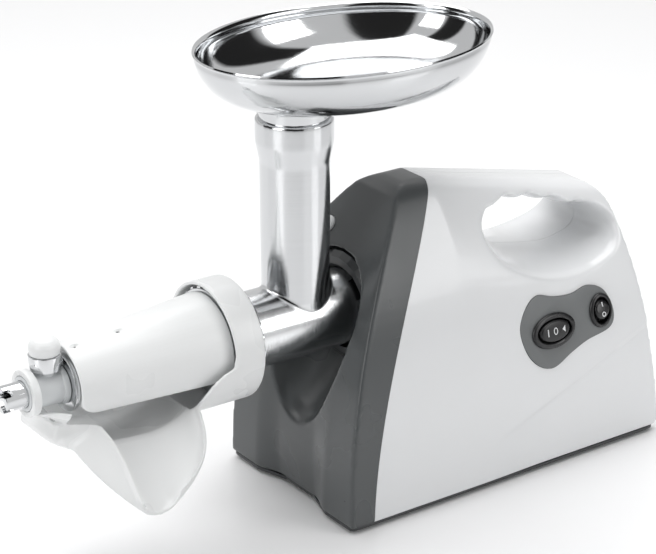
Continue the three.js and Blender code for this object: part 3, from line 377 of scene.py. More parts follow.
def plastic(name, colour, smoothest, roughest, depth=0.02, grain=900.0, coat=0.0, tint=0.03):
    material, tree, shader = newMaterial(name)
    skin = tree.nodes.new("ShaderNodeGroup")
    skin.node_tree = moulded
    for label, value in (("Grain", grain), ("Depth", depth), ("Smoothest", smoothest), ("Roughest", roughest)):
        skin.inputs[label].default_value = value
    tree.links.new(skin.outputs["Roughness"], shader.inputs["Roughness"])
    tree.links.new(skin.outputs["Normal"], shader.inputs["Normal"])
    shader.inputs["Coat Weight"].default_value = coat
    shader.inputs["Coat Roughness"].default_value = 0.08
    place = tree.nodes.new("ShaderNodeTexCoord").outputs["Object"]
    cloud = noiseNode(tree, place, 9.0, 2.0)
    ramp = tree.nodes.new("ShaderNodeMix")
    ramp.data_type = "RGBA"
    tree.links.new(cloud, ramp.inputs["Factor"])
    ramp.inputs["A"].default_value = (*[c * (1 - tint) for c in colour], 1)
    ramp.inputs["B"].default_value = (*[min(c * (1 + tint), 1) for c in colour], 1)
    tree.links.new(ramp.outputs["Result"], shader.inputs["Base Color"])
    return material


def metal(name, colour, smoothest, roughest, axis=(0, 0, 1), centre=(0, 0, 0), dish=0.0, spread=0.3,
          metallic=1.0):
    material, tree, shader = newMaterial(name)
    skin = tree.nodes.new("ShaderNodeGroup")
    skin.node_tree = turnedMetal
    values = (("Axis", axis), ("Centre", centre), ("Dish", dish), ("Spread", spread),
              ("Smoothest", smoothest), ("Roughest", roughest))
    for label, value in values:
        skin.inputs[label].default_value = value
    tree.links.new(skin.outputs["Roughness"], shader.inputs["Roughness"])
    tree.links.new(skin.outputs["Normal"], shader.inputs["Normal"])
    ramp = tree.nodes.new("ShaderNodeMix")
    ramp.data_type = "RGBA"
    tree.links.new(skin.outputs["Streak"], ramp.inputs["Factor"])
    ramp.inputs["A"].default_value = (*[c * 0.9 for c in colour], 1)
    ramp.inputs["B"].default_value = (*colour, 1)
    tree.links.new(ramp.outputs["Result"], shader.inputs["Base Color"])
    shader.inputs["Metallic"].default_value = metallic
    return material


tubeCentre = (tubeX, 0, 0)
barrelCentre = (0, 0, barrelZ * mm)
trayCentre = (tubeX + 0.043, 0, 0)
coats = {
    "shellWhite": plastic("white shell plastic", (0.80, 0.81, 0.82), 0.16, 0.22, coat=0.3),
    "juicerWhite": plastic("white juicer plastic", (0.82, 0.83, 0.83), 0.24, 0.32),
    "snoutGrey": plastic("pale grey plastic", (0.66, 0.68, 0.69), 0.25, 0.33),
    "coverGrey": plastic("grey cover plastic", (0.075, 0.081, 0.083), 0.26, 0.34, depth=0.05),
    "panelGrey": plastic("grey panel plastic", (0.155, 0.163, 0.165), 0.32, 0.42, depth=0.05),
    "darkGrey": plastic("dark grey plastic", (0.035, 0.038, 0.04), 0.28, 0.4, depth=0.05),
    "black": plastic("black plastic", (0.012, 0.012, 0.013), 0.25, 0.35, depth=0.08),
    "rubber": plastic("black rubber", (0.018, 0.018, 0.018), 0.6, 0.75, depth=0.2, grain=500.0),
    "whitePaint": plastic("white printing ink", (0.75, 0.76, 0.77), 0.4, 0.5),
    "nylon": plastic("cream nylon", (0.72, 0.68, 0.56), 0.35, 0.45),
    "fanPlastic": plastic("dark fan plastic", (0.03, 0.032, 0.036), 0.4, 0.5, depth=0.1),
    "casting": metal("polished aluminium", (0.68, 0.69, 0.70), 0.1, 0.16, (0, 0, 1), tubeCentre, spread=0.22),
    "barrelMetal": metal("turned aluminium", (0.74, 0.75, 0.76), 0.12, 0.18, (1, 0, 0), barrelCentre,
                         spread=0.35),
    "trayMetal": metal("spun stainless", (0.66, 0.67, 0.68), 0.06, 0.1, (0, 0, 1), trayCentre, 1.0, 0.1),
    "brightSteel": metal("chromed steel", (0.72, 0.73, 0.74), 0.06, 0.1, (0, 0, 1), (0, 0, 0), spread=0.08),
    "sieveSteel": metal("sieve steel", (0.72, 0.73, 0.74), 0.2, 0.28, (1, 0, 0), barrelCentre, spread=0.2),
    "steel": metal("plain steel", (0.6, 0.61, 0.62), 0.25, 0.35, (1, 0, 0), barrelCentre, spread=0.12),
    "gearSteel": metal("hobbed steel", (0.42, 0.43, 0.45), 0.3, 0.42, (1, 0, 0), barrelCentre, spread=0.15),
    "zinc": metal("cast zinc", (0.5, 0.51, 0.52), 0.42, 0.55, (1, 0, 0), barrelCentre, spread=0.05),
    "copper": metal("enamelled copper", (0.72, 0.3, 0.13), 0.28, 0.4, (1, 0, 0), barrelCentre, spread=0.3),
    "brass": metal("drawn brass", (0.78, 0.58, 0.24), 0.28, 0.38, (1, 0, 0), barrelCentre, spread=0.1),
    "laminations": metal("stacked laminations", (0.3, 0.31, 0.33), 0.4, 0.5, (1, 0, 0), barrelCentre,
                         spread=0.5),
}
print("materials ready")

# ---- housing

housing = {
    "halfWidth": 78.4, "ridgeZ": 231, "ridgeX": 106, "ridgeSlope": 0.223, "ridgeShare": 0.945,
    "frontX": -6.6, "frontReach": 79, "frontPower": 2.43, "rearX": 293, "rearLean": 0.125,
    "seamX": 14, "seamReach": 91, "flankPower": 2.4, "flankRoot": 0.69, "wall": 2.6,
    "bottomZ": 5.3, "crownRound": 9, "voxel": 1.35, "relax": 10,
}


def frontAt(z):
    share = max(z, 0) / (housing["ridgeZ"] - 4)
    return housing["frontX"] + housing["frontReach"] * share ** housing["frontPower"]


def seamAt(z):
    return housing["seamX"] + housing["seamReach"] * (max(z, 0) / housing["ridgeZ"]) ** 2


def ridgeAt(x):
    return housing["ridgeZ"] - housing["ridgeSlope"] * max(x - housing["ridgeX"], 0)


def rearAt(z):
    return housing["rearX"] - housing["rearLean"] * z


def flankAt(x, z):
    share = min(max(z / (ridgeAt(x) / housing["ridgeShare"]), 0), 1)
    return housing["halfWidth"] * (1 - share ** housing["flankPower"]) ** housing["flankRoot"]


def sidePrism(inset, bottom):
    top = housing["ridgeZ"] - inset
    steps = 26
    corners = []
    for i in range(steps + 1):
        z = bottom + (housing["ridgeZ"] - 6 - bottom) * i / steps
        corners.append((frontAt(z) + inset, z))
    rearTop = housing["rearX"] - 24
    corners.append((frontAt(housing["ridgeZ"]) + inset + 6, top, 6))
    corners.append((housing["ridgeX"], top, 12))
    corners.append((rearTop - inset, ridgeAt(rearTop) - inset, 17))
    corners.append((rearAt(bottom) - inset, bottom, 0 if inset else 6))
    return plate(corners, -100, 100, sideways)


def bodySolid(inset, bottom, steps):
    rings = []
    soft = housing["crownRound"]
    turns = [math.pi / 2 * i / 8 for i in range(9)]
    for x in (-20, housing["ridgeX"], 310):
        start = ridgeAt(x) - soft
        side = [(flankAt(x, start * math.sin(math.pi / 2 * i / steps)) - inset,
                 start * math.sin(math.pi / 2 * i / steps)) for i in range(steps)]
        for turn in turns:
            z = start + soft * math.sin(turn)
            side.append((flankAt(x, z) - soft * (1 - math.cos(turn)) - inset, z))
        half = [(side[0][0], bottom - 20)] + side + [(side[-1][0], side[-1][1] + 20)]
        rings.append([(x, y, z) for y, z in half] + [(x, -y, z) for y, z in reversed(half)])
    return keep(lofted(rings), sidePrism(inset, bottom))


# the hand hole narrows from a long dish in each flank to a slot at the middle
handHole = {
    "throat": [(151, 183), (157, 195), (176, 199), (200, 195), (222, 188), (243, 181), (257, 174), (263, 164),
               (257, 154.5), (236, 149.6), (219, 150.6), (197, 154.6), (176, 160), (159, 169)],
    "mouth": [(138, 190), (146, 202), (167, 206), (192, 202.5), (212, 197), (232, 190), (254, 184), (268, 170),
              (262, 153), (240, 145), (219, 143), (196, 145), (170, 154), (147, 170)],
    "overshoot": 1.25, "flare": 1.9, "lip": 26, "lipStart": 0.86, "fingers": 4, "fingerDepth": 3.4,
}


def holeSolid(grow):
    spec = handHole
    steps = 6
    throat = smoothLoop([(x, 0, z) for x, z in spec["throat"]], steps)
    mouth = smoothLoop([(x, 0, z) for x, z in spec["mouth"]], steps)
    middle = sum(throat, Vector()) / len(throat)
    rings = []
    count = 14
    for k in range(-count, count + 1):
        share = abs(k) / count * spec["overshoot"]
        spread = share ** spec["flare"]
        lip = spec["lip"] * max(share - spec["lipStart"], 0) ** 1.5
        ringPoints = []
        for inner, outer in zip(throat, mouth):
            point = inner.lerp(outer, spread)
            point += (point - middle).normalized() * (grow + lip)
            along = (point.x - 146) / 96
            if point.z > 172 and 0 < along < 1:
                wave = 0.5 * math.cos(2 * math.pi * spec["fingers"] * along)
                point.z += spec["fingerDepth"] * wave * ease((point.z - 172) / 12) * ease(share * 2)
            point.y = math.copysign(share * max(flankAt(outer.x, outer.z), 26), k)
            ringPoints.append(point)
        rings.append(ringPoints)
    return lofted(rings)


# the scoop under and round the barrel: a wide U in the front face that narrows to the socket
pocket = {
    "low": 53, "radius": 43.6, "floorX": 48, "floorRadius": 42.5, "shape": 0.75,
}


def pocketOutline(grow, steps=72):
    loop = []
    for i in range(steps):
        angle = 2 * math.pi * i / steps
        y, z = math.sin(angle), -math.cos(angle)
        radius = pocket["radius"] + grow
        if z < 0.15:
            # below the middle the circle is drawn out into a rounded point
            reach = (barrelZ - pocket["low"] + grow) / radius
            z = z * (1 + (reach - 1) * ease((0.15 - z) / 1.15) ** 0.9)
            y = y * (1 + 0.05 * ease(-z))
        loop.append((y * radius, barrelZ + z * radius))
    return loop


def pocketSolid(grow):
    mouth = pocketOutline(grow)
    rings = []
    levels = 9
    for k in range(levels + 1):
        share = k / levels
        ringPoints = []
        for i, (y, z) in enumerate(mouth):
            angle = 2 * math.pi * i / len(mouth)
            floorY = (pocket["floorRadius"] + grow) * math.sin(angle)
            floorZ = barrelZ - (pocket["floorRadius"] + grow) * math.cos(angle)
            startX = frontAt(max(z, 0)) - 12
            endX = pocket["floorX"] + grow
            bend = share ** (1 / pocket["shape"])
            x = startX + (endX - startX) * share
            ringPoints.append((x, y + (floorY - y) * bend, z + (floorZ - z) * bend))
        rings.append(ringPoints)
    return lofted(rings)


def seamPrism(shift, inFront):
    far = -60 if inFront else 340
    steps = 30
    corners = [(far, -20), (seamAt(0) + shift, -20)]
    top = housing["ridgeZ"] + 20
    for i in range(1, steps + 1):
        corners.append((seamAt(top * i / steps) + shift, top * i / steps))
    corners.append((far, top))
    return plate(corners, -100, 100, sideways)


button = {"y": 27, "z": 195, "radius": 6.3, "proud": 2.4}
buttonSlope = math.atan((frontAt(button["z"] + 1) - frontAt(button["z"] - 1)) / 2)
buttonPlace = (Matrix.Translation((frontAt(button["z"]), button["y"], button["z"]))
               @ Matrix.Rotation(buttonSlope - math.pi / 2, 4, "Y"))

panel = {"x": 200, "z": 109, "thickness": 3.6, "proud": 1.0}


def panelPlace():
    x, z = panel["x"], panel["z"]
    stepX = (flankAt(x + 20, z) - flankAt(x - 20, z)) / 40
    stepZ = (flankAt(x, z + 15) - flankAt(x, z - 15)) / 30
    out = Vector((-stepX, -1, -stepZ)).normalized()
    along = Vector((1, -stepX, 0)).normalized()
    up = out.cross(along)
    place = Matrix((along, up, out)).transposed().to_4x4()
    place.translation = (x, -flankAt(x, z) + 0.8, z)
    return place


onPanel = panelPlace()
panelLine = [(-46, 5), (-39, 21), (-26, 29), (-10, 24.5), (7, 22.5), (24, 25), (39, 18.5), (47, 1), (42, -11.5),
             (18, -16), (2, -21), (-20, -28.5), (-38, -17)]


def panelSolid(grow, start, end):
    points = [Vector((u, v, 0)) * (1 + grow / math.hypot(u, v)) for u, v in panelLine]
    return plate([(p.x, p.y) for p in smoothLoop(points, 8)], start, end, onPanel)


# soft changes of the moulded skin: the hollow in the front's lower edge and the step in the rear corner
def sculptBody(obj):
    creaseStart, creaseEnd = Vector((173.9, 55.8)), Vector((271.6, 90.4))
    way = (creaseEnd - creaseStart).normalized()
    for vert in obj.data.vertices:
        x, y, z = vert.co
        onFront = ease((frontAt(z) + 14 - x) / 10)
        if onFront > 0 and z < 100:
            vert.co.x += 8 * onFront * ease((46 - abs(y)) / 26) * (1 - z / 100)
        below = way.x * (z - creaseStart.y) - way.y * (x - creaseStart.x)
        if x > 90 and abs(y) > flankAt(x, z) - 4:
            fade = ease((x - 110) / 70)
            vert.co.y -= math.copysign(1.3 * fade * ease((-below - 0.5) / 5), y)
    return obj


def housingShapes():
    outer = bodySolid(0, housing["bottomZ"], 30)
    cut(outer, holeSolid(0), pocketSolid(0))
    softened(outer, housing["voxel"], housing["relax"])
    sculptBody(outer)
    hollow = bodySolid(housing["wall"], -10, 14)
    cut(hollow, holeSolid(housing["wall"]))
    frontFill = pocketSolid(housing["wall"])
    sleeve = rod(button["radius"] + 3.4, -18.5, -1, 0, 32, buttonPlace)
    posts = [rod(5, housing["bottomZ"], 22, 0, 24, Matrix.Translation((x, y, 0)))
             for x in (34, 258) for y in (-60, 60)]
    webs = [block(x - 1.5, x + 1.5, min(y, y * 1.28), max(y, y * 1.28), housing["bottomZ"], 20)
            for x in (34, 258) for y in (-60, 60)]
    lowerFront = block(-30, housing["frontX"] + 11, -52, 52, -20, 104)
    cut(hollow, frontFill, lowerFront, sleeve, *posts, *webs)
    return cut(outer, hollow)


def makeHousing():
    whole = housingShapes()
    # the cover takes in the whole lining of the pocket, which reaches back past the seam
    lining = housing["wall"] + 0.4
    front = keep(copied(whole), join(seamPrism(-gap / 2, True), pocketSolid(lining)))
    bore = turned([(0, -30), (2.5, -30), (2.5, -16.5), (button["radius"] + 1.9, -16.5),
                   (button["radius"] + 1.9, -3.4), (button["radius"] + 0.5, -3.4), (button["radius"] + 0.5, 12),
                   (0, 12)], 0, 48, buttonPlace)
    throat = rod(35.3, pocket["floorX"] - 1, pocket["floorX"] + 10, 0)
    cut(front, bore, throat)
    finished(front, "frontCover", "housing", ["front_cover"], coats["coverGrey"])
    rear = cut(keep(whole, seamPrism(gap / 2, False)), pocketSolid(lining + gap))
    holes = [rod(1.9, 0, 18, 0, 24, Matrix.Translation((x, y, 0))) for x in (34, 258) for y in (-60, 60)]
    cut(rear, rod(7, 240, 320, 0, 48, Matrix.Translation((0, 0, 32)) @ alongX), *holes)
    plain = keep(copied(rear), block(-40, 340, gap / 2, 100, -20, 260))
    control = keep(rear, block(-40, 340, -100, -gap / 2, -20, 260))
    cut(control, panelSolid(gap, -12, 12))
    finished(plain, "plainShell", "housing", ["shell_plain_side"], coats["shellWhite"])
    finished(control, "controlShell", "housing", ["shell_control_side"], coats["shellWhite"])


makeHousing()
print("housing made")

# ---- head, tray and juicer

head = {"radius": 25, "wall": 2.6, "topZ": 294.5, "flareRadius": 27.8, "flareZ": 277, "taper": 0.5,
        "barrelRadius": 28, "barrelWall": 3.2, "frontX": -70, "rearX": 58, "rearWall": 10}
lug = {"count": 3, "height": 3.4, "frontX": 48, "rearX": 54, "sweep": 30, "turn": 60}


def lugSolids():
    made = []
    start, end, sweep = lug["frontX"], lug["rearX"], lug["sweep"]
    for i in range(lug["count"]):
        middle = 2 * math.pi * i / lug["count"] + math.radians(lug["turn"])
        bm = bmesh.new()
        r0, r1 = head["barrelRadius"] - 1, head["barrelRadius"] + lug["height"]
        corners = ((r0, 0, start), (r1, 0, start), (r1, 0, end), (r0, 0, end))
        face = bm.faces.new([bm.verts.new(corner) for corner in corners])
        bmesh.ops.spin(bm, geom=[face], cent=(0, 0, 0), axis=(0, 0, 1), angle=math.radians(sweep), steps=8)
        bmesh.ops.holes_fill(bm, edges=bm.edges)
        bmesh.ops.recalc_face_normals(bm, faces=bm.faces)
        turnBack = Matrix.Rotation(middle - math.radians(sweep / 2), 4, "Z")
        bmesh.ops.transform(bm, matrix=onBarrel @ turnBack, verts=bm.verts)
        made.append(objectFrom(bm))
    return made


def makeHead():
    h = head
    neck = h["flareZ"] - 14
    upright = Matrix.Identity(4)
    tube = turned([(0, barrelZ), (h["radius"] - h["taper"], barrelZ), (h["radius"], neck),
                   (h["flareRadius"], h["flareZ"]), (h["flareRadius"], h["topZ"] - 1),
                   (h["flareRadius"] - 0.8, h["topZ"]), (0, h["topZ"])], 0.8, 96, upright)
    tubeBore = turned([(0, barrelZ), (h["radius"] - h["taper"] - h["wall"], barrelZ),
                       (h["radius"] - h["wall"], neck + 4), (h["flareRadius"] - h["wall"], h["flareZ"] + 2),
                       (h["flareRadius"] - h["wall"], h["topZ"] + 5), (0, h["topZ"] + 5)], 0, 96, upright)
    cylinder = turned([(0, h["frontX"]), (h["barrelRadius"], h["frontX"]), (h["barrelRadius"], h["rearX"]),
                       (0, h["rearX"])], 1.2, 96)
    bore = turned([(0, h["frontX"] - 5), (h["barrelRadius"] - h["barrelWall"], h["frontX"] - 5),
                   (h["barrelRadius"] - h["barrelWall"], h["rearX"] - h["rearWall"]),
                   (8.5, h["rearX"] - h["rearWall"]), (8.5, h["rearX"] + 5), (0, h["rearX"] + 5)], 0, 96)
    body = join(tube, cylinder, *lugSolids())
    softened(body, 0.95, 12)
    cut(body, tubeBore, bore)
    finished(body, "headCasting", "head", ["head_casting"], [coats["casting"], coats["barrelMetal"]],
             50)
    top = (barrelZ + h["barrelRadius"] * 0.7) * mm
    for face in body.data.polygons:
        onTube = math.hypot(face.center.x - tubeX, face.center.y) < (h["flareRadius"] + 1) * mm
        face.material_index = 0 if onTube and face.center.z > top else 1


tray = {"centreX": 43, "halfLength": 114.8, "halfWidth": 83.4, "rimZ": 342.8, "depth": 38, "sheet": 1.2,
        "neck": 24.6, "neckBottom": 281}


def makeTray():
    t = tray
    levels = [(t["neck"], t["neck"], t["neckBottom"], 0, 0),
              (t["neck"], t["neck"], t["rimZ"] - t["depth"] - 4, 0, 0),
              (t["neck"] + 1.2, t["neck"] + 1.2, t["rimZ"] - t["depth"] - 1.2, 0.3, 0),
              (t["neck"] + 4, t["neck"] + 4, t["rimZ"] - t["depth"], 1, 0)]
    for share in (0.45, 0.58, 0.66, 0.72, 0.78, 0.83, 0.87, 0.9, 0.93, 0.955, 0.972, 0.985, 0.994):
        z = t["rimZ"] - t["depth"] * max(1 - share ** 6.5, 0) ** 0.625
        reach = t["halfLength"] * share - 1.6
        levels.append((reach, t["halfWidth"] * share - 1.6, z, min(t["centreX"], reach - 32), 0))
    rim = [(-1.4, -3.2), (-0.9, -1.6), (-0.1, -0.5), (1.0, 0)]
    for out, up in rim:
        long, wide = t["halfLength"] - 1.5 + out, t["halfWidth"] - 1.5 + out
        levels.append((long, wide, t["rimZ"] + up, t["centreX"], 0))
    steps = 128
    bm = bmesh.new()
    edges = []
    for a, b, z, u, v in levels:
        place = Matrix.Translation((u, v, z)) @ Matrix.Diagonal((a, b, 1, 1))
        made = bmesh.ops.create_circle(bm, segments=steps, radius=1, matrix=place)["verts"]
        new = {edge for vert in made for edge in vert.link_edges}
        if edges:
            bmesh.ops.bridge_loops(bm, edges=list(edges | new))
        edges = new
    bmesh.ops.recalc_face_normals(bm, faces=bm.faces)
    obj = objectFrom(bm)
    wall = obj.modifiers.new("Sheet", "SOLIDIFY")
    wall.thickness = t["sheet"]
    wall.offset = 0
    wall.use_even_offset = True
    baked(obj)
    finished(obj, "trayDish", "tray", ["tray"], coats["trayMetal"], 60)


makeHead()
makeTray()
print("head and tray made")

nut = {"radius": 40.5, "frontX": -75.6, "rearX": -52, "ribs": 24, "bore": 28.5, "strainerRadius": 25.1}


def makeRingNut():
    n = nut
    lip = head["frontX"] - gap - 2.5 - gap
    outer = n["radius"] - 1.6
    body = turned([(n["strainerRadius"], n["frontX"]), (outer, n["frontX"]), (outer, n["rearX"]),
                   (n["bore"], n["rearX"]), (n["bore"], lip), (n["strainerRadius"], lip)], 0.7)
    for i in range(n["ribs"]):
        place = Matrix.Translation((0, 0, barrelZ)) @ Matrix.Rotation(2 * math.pi * i / n["ribs"], 4, "X")
        rib = block(n["frontX"] + 0.6, n["rearX"] - 0.6, -2.2, 2.2, n["radius"] - 4, n["radius"] - 0.3, place)
        join(body, rib)
    rounded(body, 0.5)
    finished(body, "ringNut", "ring_nut", ["ring_nut"], coats["brightSteel"], 30)


strainer = {"rearRadius": 24.5, "frontRadius": 16, "frontX": -188, "sheet": 0.9, "around": 60, "along": 46}


def makeStrainer():
    s = strainer
    start, end = head["frontX"] - gap - 5, s["frontX"] + 4
    bm = bmesh.new()
    slope = (s["rearRadius"] - s["frontRadius"]) / (s["along"] * 1.0)
    line = []
    for i in range(s["along"] + 1):
        line.append(bm.verts.new((s["rearRadius"] - slope * i, 0, start + (end - start) * i / s["along"])))
    for a, b in zip(line, line[1:]):
        bm.edges.new((a, b))
    bmesh.ops.spin(bm, geom=bm.verts[:] + bm.edges[:], cent=(0, 0, 0), axis=(0, 0, 1), angle=2 * math.pi,
                   steps=s["around"], use_merge=True)
    bmesh.ops.recalc_face_normals(bm, faces=bm.faces)
    step = (end - start) / s["along"]
    holes = []
    for face in bm.faces:
        middle = face.calc_center_median()
        row = int((middle.z - start) / step)
        column = int((math.atan2(middle.y, middle.x) / (2 * math.pi) % 1) * s["around"])
        if 3 < row < s["along"] - 2 and (row + column) % 2 == 0:
            holes.append(face)
    bmesh.ops.inset_individual(bm, faces=holes, thickness=0.5, use_even_offset=True)
    bmesh.ops.delete(bm, geom=holes, context="FACES_ONLY")
    bmesh.ops.transform(bm, matrix=onBarrel, verts=bm.verts)
    sieve = objectFrom(bm)
    wall = sieve.modifiers.new("Sheet", "SOLIDIFY")
    wall.thickness = s["sheet"]
    wall.offset = -1
    baked(sieve)
    finished(sieve, "strainerSieve", "head", ["strainer"], coats["sieveSteel"], 35)
    inner, seat = s["rearRadius"] - 1, s["rearRadius"] + 0.1
    flange = turned([(inner, start + 5), (27.2, start + 5), (27.2, start + 2.5), (seat, start + 2.5),
                     (seat, start), (inner, start)], 0.3)
    finished(flange, "strainerFlange", "head", [], coats["sieveSteel"])
    sleeve, rim, bore, front = s["frontRadius"] + 0.4, s["frontRadius"] + 4, s["frontRadius"] - 1.4, s["frontX"]
    nose = turned([(sleeve, end), (sleeve, front), (rim, front), (rim, front - 3), (12, front - 3),
                   (12, front - 1), (bore, front), (bore, end)], 0.3)
    finished(nose, "strainerNose", "head", [], coats["brightSteel"])


hood = {"rearRadius": 37.3, "frontRadius": 28, "rearX": -76.2, "frontX": -191, "sheet": 2.2,
        "edgeBelowAxis": 16, "corner": 15, "dimples": (-184, -150)}


def makeHood():
    h = hood
    bottom = barrelZ - h["edgeBelowAxis"]
    cone = turned([(h["rearRadius"] - h["sheet"], h["rearX"]), (h["rearRadius"], h["rearX"]),
                   (h["frontRadius"], h["frontX"]), (h["frontRadius"] - h["sheet"], h["frontX"])], 0)
    webs = [ring(24.5, h["rearRadius"] - 1, h["rearX"] - 3, h["rearX"] - 0.5, 0),
            ring(17.5, h["frontRadius"] - 0.8, strainer["frontX"] + 1, strainer["frontX"] + 3.5, 0)]
    start, end, top = h["frontX"] - 1, h["rearX"] + 1, bottom + 80
    side = plate([(start, bottom, h["corner"]), (end, bottom, 3), (end, top), (start, top)], -60, 60, sideways)
    keep(join(cone, *webs), side)
    taper = (h["rearRadius"] - h["frontRadius"]) / (h["rearX"] - h["frontX"])
    for x in h["dimples"]:
        radius = h["frontRadius"] + taper * (x - h["frontX"])
        dimple = ovalStack([(0.6, 0.4, -1.4), (4.2, 2.0, 0.4), (4.4, 2.2, 3)], 32,
                           Matrix.Translation((x, 0, barrelZ)) @ Matrix.Rotation(math.radians(12), 4, "X")
                           @ Matrix.Translation((0, 0, radius - 0.8)))
        cut(cone, dimple)
    softened(cone, 0.65, 6)
    finished(cone, "juicerHood", "head", ["juicer_hood"], coats["juicerWhite"])


collar = {"radius": 44.6, "wall": 2.6, "frontX": -79, "rearX": -55.4, "skirtX": -105}
chute = {"nearX": -102, "farX": -204, "lipNearX": -144, "lipFarX": -173, "bellyX": -202, "innerY": 34,
         "reach": 70, "rimZ": 118, "depth": 24, "lipDepth": 12, "wall": 2.2,
         "innerBelly": 0.5, "farSweep": 72, "farPower": 4.8, "nearPower": 5.5, "bellyRise": 33,
         "bellyPower": 2.2, "lean": 4.9, "leanPower": 3.8}
snout = {"radius": 12.2, "frontX": -221}


def chuteRing(y, inset):
    c = chute
    out = min(max(-y, 0) / c["reach"], 1)
    # where the far edge sweeps in, the wall is cut thicker across so that it isn't thin along the sweep
    lean = math.hypot(1, c["lean"] * (1 - out) ** c["leanPower"] if 0.08 < out < 1 else 0)
    far = max(c["farX"], c["lipFarX"] - c["farSweep"] * (1 - out) ** c["farPower"]) + inset * lean
    near = c["nearX"] + (c["lipNearX"] - c["nearX"]) * out ** c["nearPower"] - inset
    rimZ = min(c["rimZ"], barrelZ + 2 - c["reach"] * out)
    depth = c["depth"] + (c["lipDepth"] - c["depth"]) * out - inset
    middle, half = (far + near) / 2, (near - far) / 2
    bellyX = c["bellyX"] + c["bellyRise"] * out ** c["bellyPower"] + inset * (1 + lean)
    belly = max(middle - half * math.sqrt(0.5) - bellyX, 0)
    # the inside bulges less, which leaves the wall thick enough to stay whole
    share = c["innerBelly"] if inset else 1
    steps = 40
    points = []
    for i in range(steps + 1):
        turn = math.pi * i / steps
        bulge = belly * share * math.sin(2 * turn) ** 2 if i * 2 < steps else 0
        points.append((middle - half * math.cos(turn) - bulge, y, rimZ - depth * math.sin(turn)))
    return points + [(near, y, rimZ + 0.1 + inset * 4), (far, y, rimZ + 0.1 + inset * 4)]


def chuteSolid(inset, extra):
    start, end, levels = chute["innerY"] - inset, -chute["reach"] - extra, 34
    return lofted([chuteRing(start + (end - start) * k / levels, inset) for k in range(levels + 1)])


def makeTrough():
    c = collar
    band = ring(c["radius"] - c["wall"], c["radius"], c["frontX"], c["rearX"], 0.8, 96)
    edge = [(c["frontX"] + 5, 60), (c["skirtX"], 60), (c["skirtX"], barrelZ - 8, 24),
            (c["frontX"] - 2, barrelZ - 3, 14), (c["frontX"], barrelZ + 6), (c["frontX"] + 5, barrelZ + 6)]
    skirt = keep(ring(c["radius"] - c["wall"], c["radius"], c["skirtX"], c["frontX"] + 4, 0, 96),
                 plate(edge, -60, 60, sideways))
    # a half funnel leads from the ring under the snout into the chute
    nose = snout["frontX"]
    funnel = turned([(14, nose + 1), (16.2, nose + 1), (17.2, nose + 8), (20.5, nose + 16), (27, nose + 24),
                     (25, nose + 25.5), (18.3, nose + 17.5), (15, nose + 9)], 0, 96)
    keep(funnel, block(nose, -190, -60, 60, 90, barrelZ - 13))
    noseRing = ring(snout["radius"] + gap, snout["radius"] + 4.3, nose + 0.4, nose + 6.2, 0.6)
    drain = rod(c["radius"] - c["wall"], c["skirtX"] - 3, c["frontX"], 0, 96)
    trough = cut(join(chuteSolid(0, 0), funnel), chuteSolid(chute["wall"], 12), drain)
    join(trough, band, skirt)
    softened(trough, 0.8, 6)
    join(trough, noseRing)
    finished(trough, "juiceTrough", "head", ["juice_trough"], coats["juicerWhite"])


def makeSnout():
    s = snout
    rear = strainer["frontX"] - 3 - gap
    flange = s["radius"] + 1.6
    body = turned([(0, s["frontX"]), (s["radius"], s["frontX"]), (s["radius"], rear - 4), (flange, rear - 4),
                   (flange, rear), (0, rear)], 0.6)
    upright = Matrix.Translation((knobX, 0, 0))
    join(body, rod(6.5, barrelZ, barrelZ + s["radius"] + 1.5, 0.4, 48, upright))
    cut(body, rod(9.6, s["frontX"] - 5, rear + 5, 0), rod(3.3, barrelZ, barrelZ + 30, 0, 32, upright))
    finished(body, "snoutBody", "head", ["snout"], coats["snoutGrey"])


regulator = {"radius": 9.3, "bore": 5.4, "frontX": -237.5, "rearX": -193, "slot": 5.5}


def makeRegulator():
    r = regulator
    pipe = ring(r["bore"], r["radius"], r["frontX"], r["rearX"], 0.5)
    for i in range(2):
        quarter = Matrix.Rotation(math.radians(45 + 90 * i), 4, "X")
        place = Matrix.Translation((r["frontX"], 0, barrelZ)) @ quarter
        half = r["slot"] / 2
        slot = plate([(-7, -half), (6, -half, 2.6), (6, half, 2.6), (-7, half)], -20, 20, place)
        cut(pipe, slot)
    rounded(pipe, 0.35)
    finished(pipe, "regulatorPipe", "regulator", ["regulator"], coats["brightSteel"], 30)


knob = {"radius": 11.4, "skirtHeight": 11, "capHeight": 13}


def makeKnob():
    k = knob
    upright = Matrix.Translation((knobX, 0, 0))
    low = barrelZ + snout["radius"] + 2
    high = low + k["skirtHeight"]
    tip = barrelZ + regulator["radius"] + 0.4
    skirt = turned([(0, tip), (3, tip), (3, low), (k["radius"] - 0.6, low), (k["radius"], high), (0, high)],
                   0.5, 64, upright)
    finished(skirt, "knobSkirt", "clamp_knob", ["clamp_knob_skirt"], coats["brightSteel"], 30)
    dome = [(k["radius"] * math.cos(t), 5 + (k["capHeight"] - 5) * math.sin(t))
            for t in (math.radians(a) for a in (0, 15, 30, 45, 60, 75))]
    cap = turned([(0, high + gap), (k["radius"] - 1, high + gap)] + [(r - 0.4, high + h) for r, h in dome]
                 + [(0, high + k["capHeight"])], 0.3, 64, upright)
    finished(cap, "knobCap", "clamp_knob", ["clamp_knob_cap"], coats["juicerWhite"])


makeRingNut()
makeStrainer()
makeHood()
makeTrough()
makeSnout()
makeRegulator()
makeKnob()
print("juicer made")

# ---- switches, button, feet and base

modeSwitch = {"x": -14.5, "y": -0.5, "a": 21, "b": 13.4, "rim": 4.2, "depth": 20}
powerSwitch = {"x": 33.9, "y": 3.4, "a": 11.2, "b": 13.4, "rim": 3, "depth": 18}
pinDepth = -3
rockerTilt = math.radians(8)
rockerHeight = 3.4


